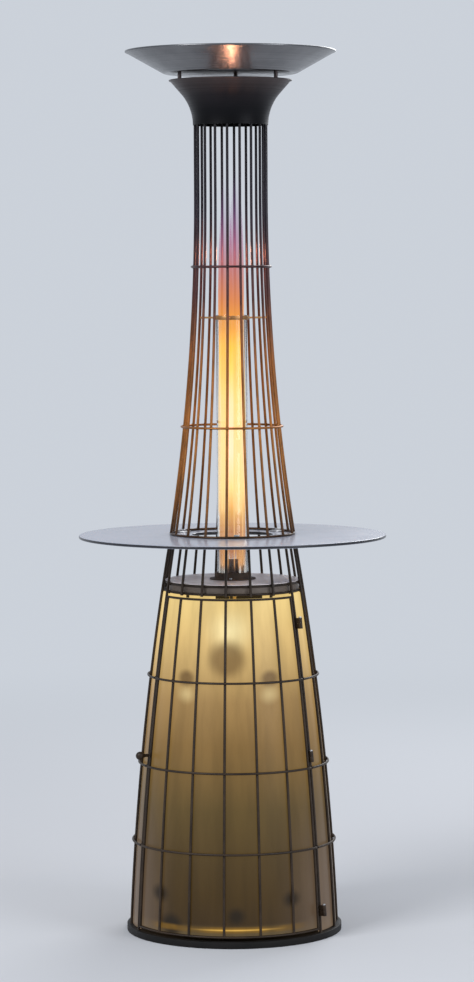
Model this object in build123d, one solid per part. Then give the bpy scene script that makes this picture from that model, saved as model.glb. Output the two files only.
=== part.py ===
from build123d import *
import math
import os

# Outdoor heater with a flame tube: a caged, lit base that holds the gas bottle, a round table half way up,
# a caged tower round the flame, a flared collar and a dish on top.
# Millimetres. The origin is on the floor at the heater's axis, +Z is up and -Y is the front with the door.
# A bearing is measured from the front (-Y) towards +X.

# Rods, hoops and fits
rod_diameter = 7.0
hoop_diameter = 6.0
rod_count = 18
weld_gap = 0.15
seat_gap = 0.05
running_clearance = 0.05
free_clearance = 0.3
cut_past = 1.0

# Base
base_ring_radius = 281.0
base_ring_wall = 23.0
base_ring_height = 17.0
base_ledge_width = 20.0
base_ledge_thickness = 4.0
base_plate_thickness = 6.0
stop_count = 3
stop_circle_radius = 190.0
stop_radius = 10.0
stop_height = 55.0
stop_round = 4.0

# Lower cage: its rods bow outwards along one arc
cage_foot_inset = 11.0
cage_head_radius = 162.0
cage_bow_radius = 8080.0
cage_hoop_heights = (238.0, 443.0, 671.0)
deck_hoop_drop = 122.0
rim_hoop_drop = 21.0
neck_rod_drop = 4.5

# Table between the lower cage and the tower
table_radius = 400.0
table_thickness = 8.0
table_top_height = 1036.0
table_hole_radius = 105.0
table_edge_round = 2.5
lug_count = 3
lug_bearing = 10.0
lug_width = 26.0
lug_thickness = 4.0
lug_inner_radius = 128.0
bolt_radius = 4.0
bolt_circle_radius = 143.0
bolt_head_radius = 7.5
bolt_head_height = 5.0
nut_height = 6.5
bolt_end = 3.0

# Tower: its rods stand straight at the top and sweep outwards lower down
tower_foot_radius = 161.0
tower_head_radius = 92.3
tower_bow_radius = 5780.0
tower_hoop_rises = (281.0, 695.0)
tower_rod_rise = 1085.0
tower_ring_drop = 12.0

# Collar, posts and dish
collar_overlap = 25.0
collar_rise = 115.0
collar_arc_rise = 85.0
collar_flare_radius = 125.0
collar_sheet = 1.5
post_count = 3
post_first_bearing = 60.0
post_circle_radius = 143.0
post_radius = 5.0
dish_gap = 17.0
dish_floor_radius = 172.0
dish_rim_radius = 270.0
dish_rim_rise = 56.0
dish_sheet = 2.0
dish_bead_radius = 2.5
dish_screw_radius = 3.0
dish_screw_length = 16.0
dish_screw_head_radius = 5.5
dish_screw_head_height = 3.5
dish_screw_head_round = 2.0

# Diffuser and door
diffuser_thickness = 2.0
diffuser_bottom_height = 19.0
diffuser_top_gap = 1.0
door_half_angle = 60.0
door_rod_aside = 5.0
panel_edge_aside = 1.0
hoop_end_aside = 2.5
door_bottom_rail_height = 27.0
door_top_rail_drop = 12.0
knob_above_hoop = 29.0
knob_radius = 11.0
knob_stem_radius = 4.0
knob_stem_length = 16.0
magnet_height = 40.0
magnet_width = 12.0
magnet_depth = 8.0

# Door hinges: three pairs of eyes on one straight pin line outside the bowed rods
low_hinge_rise = 49.0
middle_hinge_above_hoop = 29.0
top_hinge_drop = 66.0
hinge_offset = 18.0
eye_radius = 5.0
eye_length = 14.0
eye_leaf = 2.5
hinge_pin_radius = 2.0
hinge_pin_head_radius = 3.8
hinge_pin_head_height = 3.0
hinge_pin_fit = 0.02

# Deck, burner and flame tube
deck_thickness = 2.0
deck_edge_gap = 1.5
seat_radius = 47.0
seat_height = 18.0
seat_flange_radius = 60.0
seat_flange_thickness = 3.0
tube_radius = 40.0
tube_wall = 2.5
tube_rise = 570.0
tube_groove_depth = 8.0
mixing_tube_radius = 12.0
mixing_tube_wall = 2.0
mixing_tube_drop = 44.0
mixing_tube_rise = 16.0
air_port_radius = 4.0
burner_radius = 15.0
burner_height = 37.0
burner_top_thickness = 4.0
burner_port_radius = 1.5
burner_port_count = 10
burner_port_circle = 8.5
burner_screw_count = 3
burner_screw_circle = 53.0
burner_screw_radius = 2.0
burner_screw_head_radius = 4.0
burner_screw_head_height = 3.0
burner_screw_end = 2.0
probe_circle_radius = 26.0
electrode_ceramic_radius = 4.0
electrode_wire_radius = 1.2
thermocouple_radius = 2.5
probe_drop = 14.0
probe_rise = 50.0
probe_stem_rise = 20.0
injector_radius = 9.0
injector_height = 14.0
injector_spigot = 8.0
injector_jet_radius = 1.0
tube_ring_wall = 4.5
tube_ring_height = 10.0
tube_ring_below_top = 12.0
tube_arm_radius = 2.5
tube_arm_count = 3

# Controls, in a tray set into the rear of the diffuser
tray_width = 124.0
tray_drop = 20.0
tray_tall = 120.0
tray_sheet = 2.0
tray_face_y = 160.0
control_aside = 33.0
gas_valve_rise = 61.0
gas_valve_width = 44.0
gas_valve_depth = 60.0
gas_valve_tall = 40.0
gas_valve_round = 3.5
inlet_radius = 8.0
inlet_length = 16.0
spindle_radius = 4.0
spindle_length = 75.0
spindle_in_valve = 39.0
knob_push = 4.0
gas_knob_radius = 19.0
gas_knob_length = 34.0
gas_knob_gap = 5.0
gas_knob_cap = 7.0
gas_knob_waist = 16.0
gas_knob_tip = 15.0
gas_knob_round = 2.4
igniter_rise = 86.0
lamp_switch_rise = 34.0
button_radius = 8.0
button_wall = 2.0
button_flange_radius = 14.0
button_flange_thickness = 3.0
button_barrel_inside = 46.0
button_barrel_outside = 6.0
button_length = 40.0
button_proud = 8.0
button_well = 44.0
button_round = 2.0

# Gas bottle and its fittings
bottle_radius = 158.0
bottle_wall = 3.0
bottle_bottom_lift = 22.0
bottle_body_height = 420.0
bottle_bottom_round = 60.0
bottle_top_round = 80.0
bottle_foot_radius = 118.0
bottle_foot_height = 45.0
bottle_neck_radius = 20.0
bottle_neck_height = 18.0
bottle_bore_radius = 12.0
guard_radius = 103.0
guard_wall = 3.0
guard_height = 100.0
guard_gap_angle = 130.0
guard_grip_width = 80.0
guard_grip_height = 28.0
guard_grip_below_top = 34.0
valve_body_radius = 14.0
valve_body_height = 42.0
valve_outlet_radius = 11.0
valve_outlet_length = 38.0
valve_outlet_rise = 22.0
valve_spindle_radius = 4.0
valve_spindle_height = 30.0
handwheel_radius = 28.0
handwheel_rim = 8.0
handwheel_web = 4.0
handwheel_hub_radius = 9.0
handwheel_height = 14.0
handwheel_gap = 8.0
handwheel_window_count = 6
regulator_nut_radius = 15.0
regulator_nut_length = 20.0
regulator_nut_grip = 12.0
regulator_reach = 80.0
regulator_radius = 27.0
regulator_height = 24.0
regulator_cap_radius = 18.0
regulator_cap_height = 7.0
regulator_neck_radius = 7.0
nipple_radius = 6.0
nipple_end = 50.0
hose_radius = 6.0
hose_bend_share = 0.45
hose_turn_aside = 118.0
hose_low_bend = (166.0, -28.0, 512.0)
hose_side_bend = (168.0, 52.0, 556.0)
hose_rear_bend = (118.0, 118.0, 612.0)
hose_rise_start = 684.0
hose_inlet_y = 130.0
pipe_radius = 4.0
pipe_bend_radius = 15.0
pipe_insertion = 6.0

# Lamps inside the diffuser
globe_radius = 53.5
globe_wall = 2.0
globe_neck_radius = 13.0
globe_reach = 110.0
globe_drop = 169.0
globe_cup_wall = 3.0
globe_cup_depth = 12.0
globe_cup_boss_radius = 12.0
globe_stem_reach = 40.0
stem_radius = 4.0
stem_bend_radius = 16.0
spot_bearing = 50.0
spot_reach = 141.0
spot_drop = 235.0
spot_radius = 18.0
spot_length = 50.0
spot_round = 9.0
spot_lens_radius = 15.0
spot_lens_thickness = 5.0

# Values worked out from the sizes above
rod_radius = rod_diameter / 2
hoop_radius = hoop_diameter / 2
rod_pitch = 360.0 / rod_count
cage_foot_radius = base_ring_radius - cage_foot_inset

# Heights that follow the table: the deck and what hangs below it, then the tower and what stands on it
table_bottom_height = table_top_height - table_thickness
deck_hoop_height = table_top_height - deck_hoop_drop
rim_hoop_height = deck_hoop_height - rim_hoop_drop
door_top_rail_height = rim_hoop_height - door_top_rail_drop
globe_height = deck_hoop_height - globe_drop
spot_top_height = deck_hoop_height - spot_drop
tray_top_height = rim_hoop_height - tray_drop
tray_bottom_height = tray_top_height - tray_tall
gas_valve_height = tray_bottom_height + gas_valve_rise
igniter_height = tray_bottom_height + igniter_rise
lamp_switch_height = tray_bottom_height + lamp_switch_rise
tube_top_height = table_top_height + tube_rise
tower_hoop_heights = [table_top_height + rise for rise in tower_hoop_rises]
tower_rod_top = table_top_height + tower_rod_rise
tower_ring_height = tower_rod_top - tower_ring_drop
collar_bottom_height = tower_rod_top - collar_overlap
dish_floor_height = collar_bottom_height + collar_rise + dish_gap

# Heights of the door's knob and hinges
knob_height = cage_hoop_heights[1] + knob_above_hoop
low_hinge_height = door_bottom_rail_height + low_hinge_rise
middle_hinge_height = cage_hoop_heights[1] + middle_hinge_above_hoop
top_hinge_height = door_top_rail_height - top_hinge_drop
hinge_heights = (low_hinge_height, middle_hinge_height, top_hinge_height)

front_plane = Plane(origin=(0, 0, 0), x_dir=(0, -1, 0), z_dir=(-1, 0, 0))

# The lower cage's arc, in radius and height
cage_foot = Vector(cage_foot_radius, base_ring_height)
cage_head = Vector(cage_head_radius, table_bottom_height)
cage_chord = cage_head - cage_foot
cage_sag = math.sqrt(cage_bow_radius ** 2 - (cage_chord.length / 2) ** 2)
cage_outward = Vector(cage_chord.Y, -cage_chord.X).normalized()
cage_centre = (cage_foot + cage_head) * 0.5 - cage_outward * cage_sag

# The tower's arc starts where its straight rods end
tower_spread = tower_foot_radius - tower_head_radius
tower_bow_drop = math.sqrt(tower_bow_radius ** 2 - (tower_bow_radius - tower_spread) ** 2)
tower_bow_height = table_top_height + tower_bow_drop


def cage_radius(height, inset=0.0):
    """Radius of the lower cage's arc at a height, on a line moved inwards by inset."""
    return cage_centre.X + math.sqrt((cage_bow_radius - inset) ** 2 - (height - cage_centre.Y) ** 2)


def tower_radius(height):
    """Radius of the tower's rods at a height."""
    below = max(tower_bow_height - height, 0)
    return tower_head_radius + tower_bow_radius - math.sqrt(tower_bow_radius ** 2 - below ** 2)


def spot(radius, bearing, height=0.0):
    """Point at a radius and bearing."""
    angle = math.radians(bearing)
    return Vector(radius * math.sin(angle), -radius * math.cos(angle), height)


def turned(shape, bearing, aside=0.0):
    """Shape made at the front, moved sideways and turned to a bearing."""
    return Rot(0, 0, bearing) * Pos(aside, 0, 0) * shape


def upright(radius, bottom, top, x=0.0, y=0.0):
    """Upright cylinder between two heights."""
    bar = Cylinder(radius, top - bottom, align=(Align.CENTER, Align.CENTER, Align.MIN))
    return Pos(x, y, bottom) * bar


def rearward(radius, start, end, x, height):
    """Cylinder along +Y between two distances from the axis."""
    bar = Cylinder(radius, end - start, align=(Align.CENTER, Align.CENTER, Align.MIN))
    return Pos(x, start, height) * Rot(-90, 0, 0) * bar


def block(x0, x1, y0, y1, z0, z1):
    """Box between two corners."""
    box = Box(x1 - x0, y1 - y0, z1 - z0, align=(Align.MIN, Align.MIN, Align.MIN))
    return Pos(x0, y0, z0) * box


def ring(inner, outer, bottom, top):
    """Flat ring between two heights."""
    return upright(outer, bottom, top) - upright(inner, bottom - cut_past, top + cut_past)


def hoop_arc(radius, height, first_bearing, last_bearing):
    """Round bar bent to a hoop, between two bearings."""
    section = front_plane * Pos(radius, height) * Circle(hoop_radius)
    return turned(revolve(section, Axis.Z, last_bearing - first_bearing), first_bearing)


def hoop(radius, height):
    """Closed hoop of round bar."""
    return Pos(0, 0, height) * Torus(radius, hoop_radius)


def spun(points_and_arcs):
    """Body of revolution from a closed outline in radius and height."""
    return revolve(front_plane * make_face(points_and_arcs), Axis.Z)


def trimmed(shape, bottom, top):
    """Shape cut level at two heights."""
    above = split(shape, bisect_by=Plane.XY.offset(bottom), keep=Keep.TOP)
    return split(above, bisect_by=Plane.XY.offset(top), keep=Keep.BOTTOM)


def cage_rod(bottom, top):
    """Bowed rod of the lower cage at the front, cut level at both ends."""
    spare = rod_diameter
    low = bottom - spare
    high = top + spare
    path = ThreePointArc(
        (cage_radius(low), low), (cage_radius((low + high) / 2), (low + high) / 2), (cage_radius(high), high)
    )
    section = Plane(front_plane.from_local_coords(path @ 0), z_dir=front_plane.from_local_coords(path % 0))
    return trimmed(sweep(section * Circle(rod_radius), front_plane * path), bottom, top)


def tower_rod(bottom, top):
    """Rod of the tower at the front: an arc below and a straight run above."""
    section = Plane((0, -tower_head_radius, tower_bow_height)) * Circle(rod_radius)
    bow_axis = Axis((0, -tower_head_radius - tower_bow_radius, tower_bow_height), (-1, 0, 0))
    drop = tower_bow_height - bottom + rod_diameter
    bow = revolve(section, bow_axis, math.degrees(math.asin(drop / tower_bow_radius)))
    bar = bow + upright(rod_radius, tower_bow_height, top, y=-tower_head_radius)
    return split(bar, bisect_by=Plane.XY.offset(bottom), keep=Keep.TOP)


def hoop_reach(height, slope_of, outside):
    """Distance from a rod's centre line to a hoop's, level with the hoop."""
    step = 1.0
    lean = math.atan((slope_of(height + step) - slope_of(height - step)) / (2 * step))
    reach = (rod_radius + hoop_radius + weld_gap) / math.cos(lean)
    return reach if outside else -reach


def cage_hoop_radius(height, outside=True):
    return cage_radius(height) + hoop_reach(height, cage_radius, outside)


def tower_hoop_radius(height, outside=True):
    return tower_radius(height) + hoop_reach(height, tower_radius, outside)


def bowed_wall(bottom, top, inset, thickness):
    """Outline of a wall that follows the lower cage's arc inside its rods."""
    middle = (bottom + top) / 2
    inner = inset + thickness
    outside = ThreePointArc(*[(cage_radius(z, inset), z) for z in (bottom, middle, top)])
    inside = ThreePointArc(*[(cage_radius(z, inner), z) for z in (top, middle, bottom)])
    return outside + Line(outside @ 1, inside @ 0) + inside + Line(inside @ 1, outside @ 0)


# Base
plate_bottom = base_ledge_thickness
plate_top = plate_bottom + base_plate_thickness
ring_inner_radius = base_ring_radius - base_ring_wall


def make_base_ring():
    wall = ring(ring_inner_radius, base_ring_radius, 0, base_ring_height)
    ledge = ring(ring_inner_radius - base_ledge_width, ring_inner_radius, 0, base_ledge_thickness)
    return wall + ledge


def make_base_plate():
    return upright(ring_inner_radius - free_clearance, plate_bottom, plate_top)


def make_bottle_stops():
    peg = upright(stop_radius, plate_top, plate_top + stop_height, y=-stop_circle_radius)
    peg = fillet(peg.faces().sort_by(Axis.Z)[-1].edges(), stop_round)
    return [turned(peg, 360.0 * i / stop_count) for i in range(stop_count)]


# Lower cage
rod_foot_height = base_ring_height
rod_head_height = table_bottom_height - hoop_diameter - seat_gap
door_rods_each_side = math.ceil(door_half_angle / rod_pitch) - 1
door_bearings = [rod_pitch * i for i in range(-door_rods_each_side, door_rods_each_side + 1)]
bearings = [rod_pitch * i for i in range(rod_count)]
rear_bearings = [bearing for bearing in bearings if door_half_angle < bearing < 360 - door_half_angle]
neck_rod_foot = rim_hoop_height - neck_rod_drop


def make_cage_rods():
    rod = cage_rod(rod_foot_height + seat_gap, rod_head_height)
    jambs = [turned(rod, door_half_angle, door_rod_aside), turned(rod, -door_half_angle, -door_rod_aside)]
    return jambs + [turned(rod, bearing) for bearing in rear_bearings]


def make_neck_rods():
    rod = cage_rod(neck_rod_foot, rod_head_height)
    return [turned(rod, bearing) for bearing in door_bearings]


def split_angle(radius, aside):
    """Bearing that lies aside from the line where the door and the fixed cage part."""
    return door_half_angle + math.degrees(aside / radius)


def make_cage_hoops():
    hoops = []
    for height in cage_hoop_heights:
        radius = cage_hoop_radius(height)
        first = split_angle(radius, hoop_end_aside)
        hoops.append(hoop_arc(radius, height, first, 360 - first))
    return hoops


def make_neck_hoops():
    heights = (rim_hoop_height, deck_hoop_height)
    return [hoop(cage_hoop_radius(height, outside=False), height) for height in heights]


def make_table_hoop():
    return hoop(cage_head_radius, table_bottom_height - hoop_radius)


# Diffuser, in a fixed rear shell and a door panel
diffuser_inset = rod_radius + weld_gap
diffuser_top_height = rim_hoop_height - hoop_radius - diffuser_top_gap
shell_outline = bowed_wall(diffuser_bottom_height, diffuser_top_height, diffuser_inset, diffuser_thickness)
tray_half_width = tray_width / 2
tray_depth_limit = cage_foot_radius


def make_rear_diffuser():
    edge = split_angle(cage_radius(rim_hoop_height), panel_edge_aside)
    shell = turned(revolve(front_plane * make_face(shell_outline), Axis.Z, 360 - 2 * edge), edge)
    window = block(
        -tray_half_width + tray_sheet, tray_half_width - tray_sheet, tray_face_y, tray_depth_limit,
        tray_bottom_height + tray_sheet, tray_top_height - tray_sheet
    )
    return shell - window


def make_door_panel():
    bottom = door_bottom_rail_height + hoop_radius
    top = door_top_rail_height + hoop_radius
    outline = bowed_wall(bottom, top, diffuser_inset, diffuser_thickness)
    edge = split_angle(cage_radius(rim_hoop_height), -panel_edge_aside)
    return turned(revolve(front_plane * make_face(outline), Axis.Z, 2 * edge), -edge)


# Door
def make_door_rods():
    foot = door_bottom_rail_height + hoop_radius + seat_gap
    head = door_top_rail_height - hoop_radius - seat_gap
    rod = cage_rod(foot, head)
    stiles = [turned(rod, door_half_angle, -door_rod_aside), turned(rod, -door_half_angle, door_rod_aside)]
    return stiles + [turned(rod, bearing) for bearing in door_bearings]


def make_door_rails():
    rails = []
    for height in (door_bottom_rail_height, door_top_rail_height):
        radius = cage_radius(height)
        last = split_angle(radius, -hoop_end_aside)
        rails.append(hoop_arc(radius, height, -last, last))
    return rails


def make_door_hoops():
    hoops = []
    for height in cage_hoop_heights:
        radius = cage_hoop_radius(height)
        last = split_angle(radius, -hoop_end_aside)
        hoops.append(hoop_arc(radius, height, -last, last))
    return hoops


def make_door_knob():
    start = cage_radius(knob_height - knob_stem_radius) + rod_radius + weld_gap
    end = start + knob_stem_length
    ball_depth = math.sqrt(knob_radius ** 2 - knob_stem_radius ** 2)
    profile = Line((0, start), (knob_stem_radius, start))
    profile += Line((knob_stem_radius, start), (knob_stem_radius, end))
    profile += ThreePointArc(
        (knob_stem_radius, end), (knob_radius, end + ball_depth), (0, end + ball_depth + knob_radius)
    )
    profile += Line((0, end + ball_depth + knob_radius), (0, start))
    knob = revolve(make_face(profile), Axis.Y)
    return turned(Pos(0, 0, knob_height) * Rot(0, 0, 180) * knob, -door_half_angle, door_rod_aside)


def make_catch(side):
    """Magnet (side -1, fixed) or its keeper (side 1, on the door), behind the diffuser's edge."""
    near = panel_edge_aside * side
    far = near + magnet_width * side
    wall = cage_radius(knob_height + magnet_height / 2, diffuser_inset + diffuser_thickness)
    outer = math.sqrt(wall ** 2 - far ** 2) - seat_gap
    body = block(
        min(near, far), max(near, far), -outer, -outer + magnet_depth,
        knob_height - magnet_height / 2, knob_height + magnet_height / 2
    )
    return turned(body, -door_half_angle)


# Door hinges
hinge_low = spot(cage_radius(hinge_heights[0]) + hinge_offset, door_half_angle, hinge_heights[0])
hinge_high = spot(cage_radius(hinge_heights[-1]) + hinge_offset, door_half_angle, hinge_heights[-1])
hinge_line = (hinge_high - hinge_low).normalized()
door_tangent = Vector(math.cos(math.radians(door_half_angle)), math.sin(math.radians(door_half_angle)), 0)


def hinge_plane(height):
    """Plane square to the hinge line: x along the door's edge line, y inwards, z up the pin."""
    along = (height - hinge_low.Z) / hinge_line.Z
    return Plane(hinge_low + hinge_line * along, x_dir=door_tangent, z_dir=hinge_line)


def rod_distance(height):
    """Distance from the hinge line in to the rods' centre line."""
    point = hinge_plane(height).origin
    return math.hypot(point.X, point.Y) - cage_radius(height)


def make_eye(height, side, fit):
    """Eye with its leaf: below the hinge's middle for the jamb (side 1), above it for the door (side -1)."""
    bottom = -eye_length if side > 0 else weld_gap
    top = -weld_gap if side > 0 else eye_length
    leaf_face = (door_rod_aside - rod_radius - seat_gap) * side
    leaf_back = leaf_face - eye_leaf * side
    reach = rod_distance(height) + rod_radius / 2
    barrel = upright(eye_radius, bottom, top)
    leaf = block(min(leaf_face, leaf_back), max(leaf_face, leaf_back), 0, reach, bottom, top)
    eye = barrel + leaf - upright(hinge_pin_radius + fit, bottom - cut_past, top + cut_past)
    return hinge_plane(height) * eye


def make_hinge_pin(height):
    pin = upright(hinge_pin_radius, -eye_length, eye_length + weld_gap)
    head_bottom = eye_length + weld_gap
    head = upright(hinge_pin_head_radius, head_bottom, head_bottom + hinge_pin_head_height)
    return hinge_plane(height) * (pin + head)


# Deck, burner and flame tube
deck_bottom = deck_hoop_height + hoop_radius + seat_gap
deck_top = deck_bottom + deck_thickness
seat_top = deck_top + seat_height
mixing_bottom = deck_bottom - mixing_tube_drop
mixing_bore = mixing_tube_radius - mixing_tube_wall
probe_bearings = {"igniter_electrode": 90.0, "thermocouple": -90.0}
probe_radii = {"igniter_electrode": electrode_ceramic_radius, "thermocouple": thermocouple_radius}


def drilled_for_burner(plate):
    """Plate with the holes for the mixing tube, the electrode and the thermocouple."""
    low = deck_bottom - cut_past
    high = seat_top + cut_past
    plate -= upright(mixing_tube_radius + running_clearance, low, high)
    for name, bearing in probe_bearings.items():
        centre = spot(probe_circle_radius, bearing)
        plate -= upright(probe_radii[name] + running_clearance, low, high, centre.X, centre.Y)
    for i in range(burner_screw_count):
        centre = spot(burner_screw_circle, 360.0 * i / burner_screw_count)
        plate -= upright(burner_screw_radius + running_clearance, low, high, centre.X, centre.Y)
    return plate


def make_deck():
    radius = cage_radius(deck_top, rod_radius) - deck_edge_gap
    return drilled_for_burner(upright(radius, deck_bottom, deck_top))


def make_burner_seat():
    cup = upright(seat_radius, deck_top, seat_top)
    cup += upright(seat_flange_radius, deck_top, deck_top + seat_flange_thickness)
    groove = ring(
        tube_radius - tube_wall - free_clearance, tube_radius + free_clearance, seat_top - tube_groove_depth,
        seat_top + tube_groove_depth
    )
    return drilled_for_burner(cup - groove)


def make_burner_screws():
    top = deck_top + seat_flange_thickness
    screw = upright(burner_screw_radius, deck_bottom - burner_screw_end, top, y=-burner_screw_circle)
    screw += upright(burner_screw_head_radius, top, top + burner_screw_head_height, y=-burner_screw_circle)
    return [turned(screw, 360.0 * i / burner_screw_count) for i in range(burner_screw_count)]


def make_mixing_tube():
    tube = ring(mixing_bore, mixing_tube_radius, mixing_bottom, seat_top + mixing_tube_rise)
    port_height = mixing_bottom + injector_spigot + 2 * air_port_radius
    port = Pos(0, 0, port_height) * Rot(0, 90, 0) * Cylinder(air_port_radius, 4 * mixing_tube_radius)
    return tube - port


def make_burner():
    head_top = seat_top + burner_height
    bore_top = head_top - burner_top_thickness
    head = upright(burner_radius, seat_top, head_top)
    head -= upright(mixing_tube_radius + running_clearance, seat_top - cut_past, bore_top)
    for i in range(burner_port_count):
        centre = spot(burner_port_circle, 360.0 * i / burner_port_count)
        head -= upright(burner_port_radius, bore_top - cut_past, head_top + cut_past, centre.X, centre.Y)
    return head


def make_injector():
    bottom = mixing_bottom - injector_height
    nut = Pos(0, 0, bottom) * extrude(RegularPolygon(injector_radius, 6), injector_height)
    nut += upright(mixing_bore - running_clearance, mixing_bottom, mixing_bottom + injector_spigot)
    nut -= upright(pipe_radius + running_clearance, bottom - cut_past, bottom + pipe_insertion)
    return nut - upright(injector_jet_radius, bottom, mixing_bottom + injector_spigot + cut_past)


def make_probe(name):
    centre = spot(probe_circle_radius, probe_bearings[name])
    stem_top = seat_top + probe_stem_rise
    stem = upright(probe_radii[name], deck_bottom - probe_drop, stem_top, centre.X, centre.Y)
    return stem + upright(electrode_wire_radius, stem_top, seat_top + probe_rise, centre.X, centre.Y)


def make_glass_tube():
    bottom = seat_top - tube_groove_depth + seat_gap
    return ring(tube_radius - tube_wall, tube_radius, bottom, tube_top_height)


def make_tube_ring():
    bottom = tube_top_height - tube_ring_below_top
    inner = tube_radius + free_clearance
    body = ring(inner, inner + tube_ring_wall, bottom, bottom + tube_ring_height)
    height = bottom + tube_ring_height / 2
    end = tower_radius(height) - rod_radius - weld_gap
    start = inner + tube_ring_wall / 2
    for i in range(tube_arm_count):
        arm = Pos(0, 0, height) * Rot(90, 0, 0) * upright(tube_arm_radius, start, end)
        body += turned(arm, 360.0 * i / tube_arm_count)
    return body


# Table
def round_the_lugs(shape):
    """Copies of a shape made at the front, one for each lug."""
    return [turned(shape, lug_bearing + 360.0 * i / lug_count) for i in range(lug_count)]


def make_table_top():
    top = ring(table_hole_radius, table_radius, table_bottom_height, table_top_height)
    rim = top.edges().filter_by(GeomType.CIRCLE).group_by(SortBy.RADIUS)[-1]
    top = fillet(rim, table_edge_round)
    low = table_bottom_height - cut_past
    high = table_top_height + cut_past
    hole = upright(bolt_radius + free_clearance, low, high, y=-bolt_circle_radius)
    for cut in round_the_lugs(hole):
        top -= cut
    return top


def make_lug(hoop_centre_radius, bottom):
    outer = hoop_centre_radius - hoop_radius - weld_gap
    plate = block(-lug_width / 2, lug_width / 2, -outer, -lug_inner_radius, bottom, bottom + lug_thickness)
    low = bottom - cut_past
    high = bottom + lug_thickness + cut_past
    plate &= upright(outer, low, high)
    return plate - upright(bolt_radius + free_clearance, low, high, y=-bolt_circle_radius)


def make_table_lugs():
    lower = make_lug(cage_head_radius, table_bottom_height - lug_thickness)
    upper = make_lug(tower_foot_radius, table_top_height)
    return round_the_lugs(lower) + round_the_lugs(upper)


def make_table_bolts():
    seat = table_top_height + lug_thickness
    nut_top = table_bottom_height - lug_thickness
    head = extrude(RegularPolygon(bolt_head_radius, 6), bolt_head_height)
    bolt = upright(bolt_radius, nut_top - nut_height - bolt_end, seat, y=-bolt_circle_radius)
    bolt += Pos(0, -bolt_circle_radius, seat) * head
    nut_bottom = nut_top - nut_height
    nut = Pos(0, -bolt_circle_radius, nut_bottom) * extrude(RegularPolygon(bolt_head_radius, 6), nut_height)
    hole_radius = bolt_radius + running_clearance
    nut -= upright(hole_radius, nut_bottom - cut_past, nut_top + cut_past, y=-bolt_circle_radius)
    return round_the_lugs(bolt) + round_the_lugs(nut)


# Tower
tower_foot_height = table_top_height + hoop_diameter + 2 * seat_gap


def make_tower_base_hoop():
    return hoop(tower_foot_radius, table_top_height + hoop_radius + seat_gap)


def make_tower_rods():
    rod = tower_rod(tower_foot_height, tower_rod_top)
    return [turned(rod, rod_pitch * i) for i in range(rod_count)]


def make_tower_hoops():
    return [hoop(tower_hoop_radius(height), height) for height in tower_hoop_heights]


def make_tower_top_ring():
    return hoop(tower_hoop_radius(tower_ring_height, outside=False), tower_ring_height)


# Collar, posts and dish
collar_inner_radius = tower_head_radius + rod_radius + weld_gap
flare_centre = Vector(collar_inner_radius + collar_flare_radius, collar_bottom_height)


def flare_radius(rise, inset=0.0):
    """Radius of the collar's arc at a rise above its lower edge, on a line moved outwards by inset."""
    return flare_centre.X - math.sqrt((collar_flare_radius - inset) ** 2 - rise ** 2)


def flare_line(inset):
    """The collar's outline: an arc and a straight run in line with its end."""
    turn = math.asin(collar_arc_rise / collar_flare_radius)
    arc_top = (collar_flare_radius - inset) * math.sin(turn)
    points = [(flare_radius(rise, inset), collar_bottom_height + rise) for rise in (0, arc_top / 2, arc_top)]
    arc = ThreePointArc(*points)
    run = (collar_rise - collar_arc_rise) / math.cos(turn)
    return arc, Line(arc @ 1, arc @ 1 + Vector(math.sin(turn), math.cos(turn)) * run)


def make_collar():
    upper_arc, upper_run = flare_line(0)
    lower_arc, lower_run = flare_line(collar_sheet)
    rim = Line(upper_run @ 1, lower_run @ 1)
    foot = Line(lower_arc @ 0, upper_arc @ 0)
    return spun(upper_arc + upper_run + rim + lower_run + lower_arc + foot)


def make_dish_posts():
    hole_depth = dish_screw_length - dish_sheet + free_clearance
    arc, run = flare_line(-seat_gap)
    corner = ((run @ 1).X, collar_bottom_height)
    below = arc + run + Line(run @ 1, corner) + Line(corner, arc @ 0)
    post = upright(
        post_radius, collar_bottom_height + collar_rise / 2, dish_floor_height - seat_gap,
        y=-post_circle_radius,
    )
    post -= spun(below)
    post -= upright(
        dish_screw_radius + running_clearance, dish_floor_height - hole_depth, dish_floor_height + cut_past,
        y=-post_circle_radius
    )
    return [turned(post, post_first_bearing + 360.0 * i / post_count) for i in range(post_count)]


def make_dish():
    run = dish_rim_radius - dish_floor_radius
    slope = math.atan2(dish_rim_rise, run)
    knee = dish_sheet * math.tan(slope / 2)
    rim_height = dish_floor_height + dish_rim_rise
    inner_rim = (dish_rim_radius - dish_sheet * math.sin(slope), rim_height + dish_sheet * math.cos(slope))
    outline = Polyline(
        (0, dish_floor_height), (dish_floor_radius, dish_floor_height), (dish_rim_radius, rim_height),
        inner_rim, (dish_floor_radius - knee, dish_floor_height + dish_sheet),
        (0, dish_floor_height + dish_sheet), close=True,
    )
    bead = Pos(0, 0, rim_height + dish_sheet / 2) * Torus(dish_rim_radius, dish_bead_radius)
    dish = spun(outline) + bead
    for i in range(post_count):
        centre = spot(post_circle_radius, post_first_bearing + 360.0 * i / post_count)
        low = dish_floor_height - cut_past
        dish -= upright(dish_screw_radius + running_clearance, low, low + 2 * dish_sheet, centre.X, centre.Y)
    return dish


def make_dish_screws():
    seat = dish_floor_height + dish_sheet
    screw = upright(dish_screw_radius, seat - dish_screw_length, seat, y=-post_circle_radius)
    head = upright(dish_screw_head_radius, seat, seat + dish_screw_head_height, y=-post_circle_radius)
    head = fillet(head.faces().sort_by(Axis.Z)[-1].edges(), dish_screw_head_round)
    return [turned(screw + head, post_first_bearing + 360.0 * i / post_count) for i in range(post_count)]


# Controls
face_outer_y = tray_face_y + tray_sheet
button_places = {"igniter": igniter_height, "lamp_switch": lamp_switch_height}
barrel_radius = button_radius + button_wall
valve_back_y = tray_face_y - seat_gap - gas_valve_depth


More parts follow.
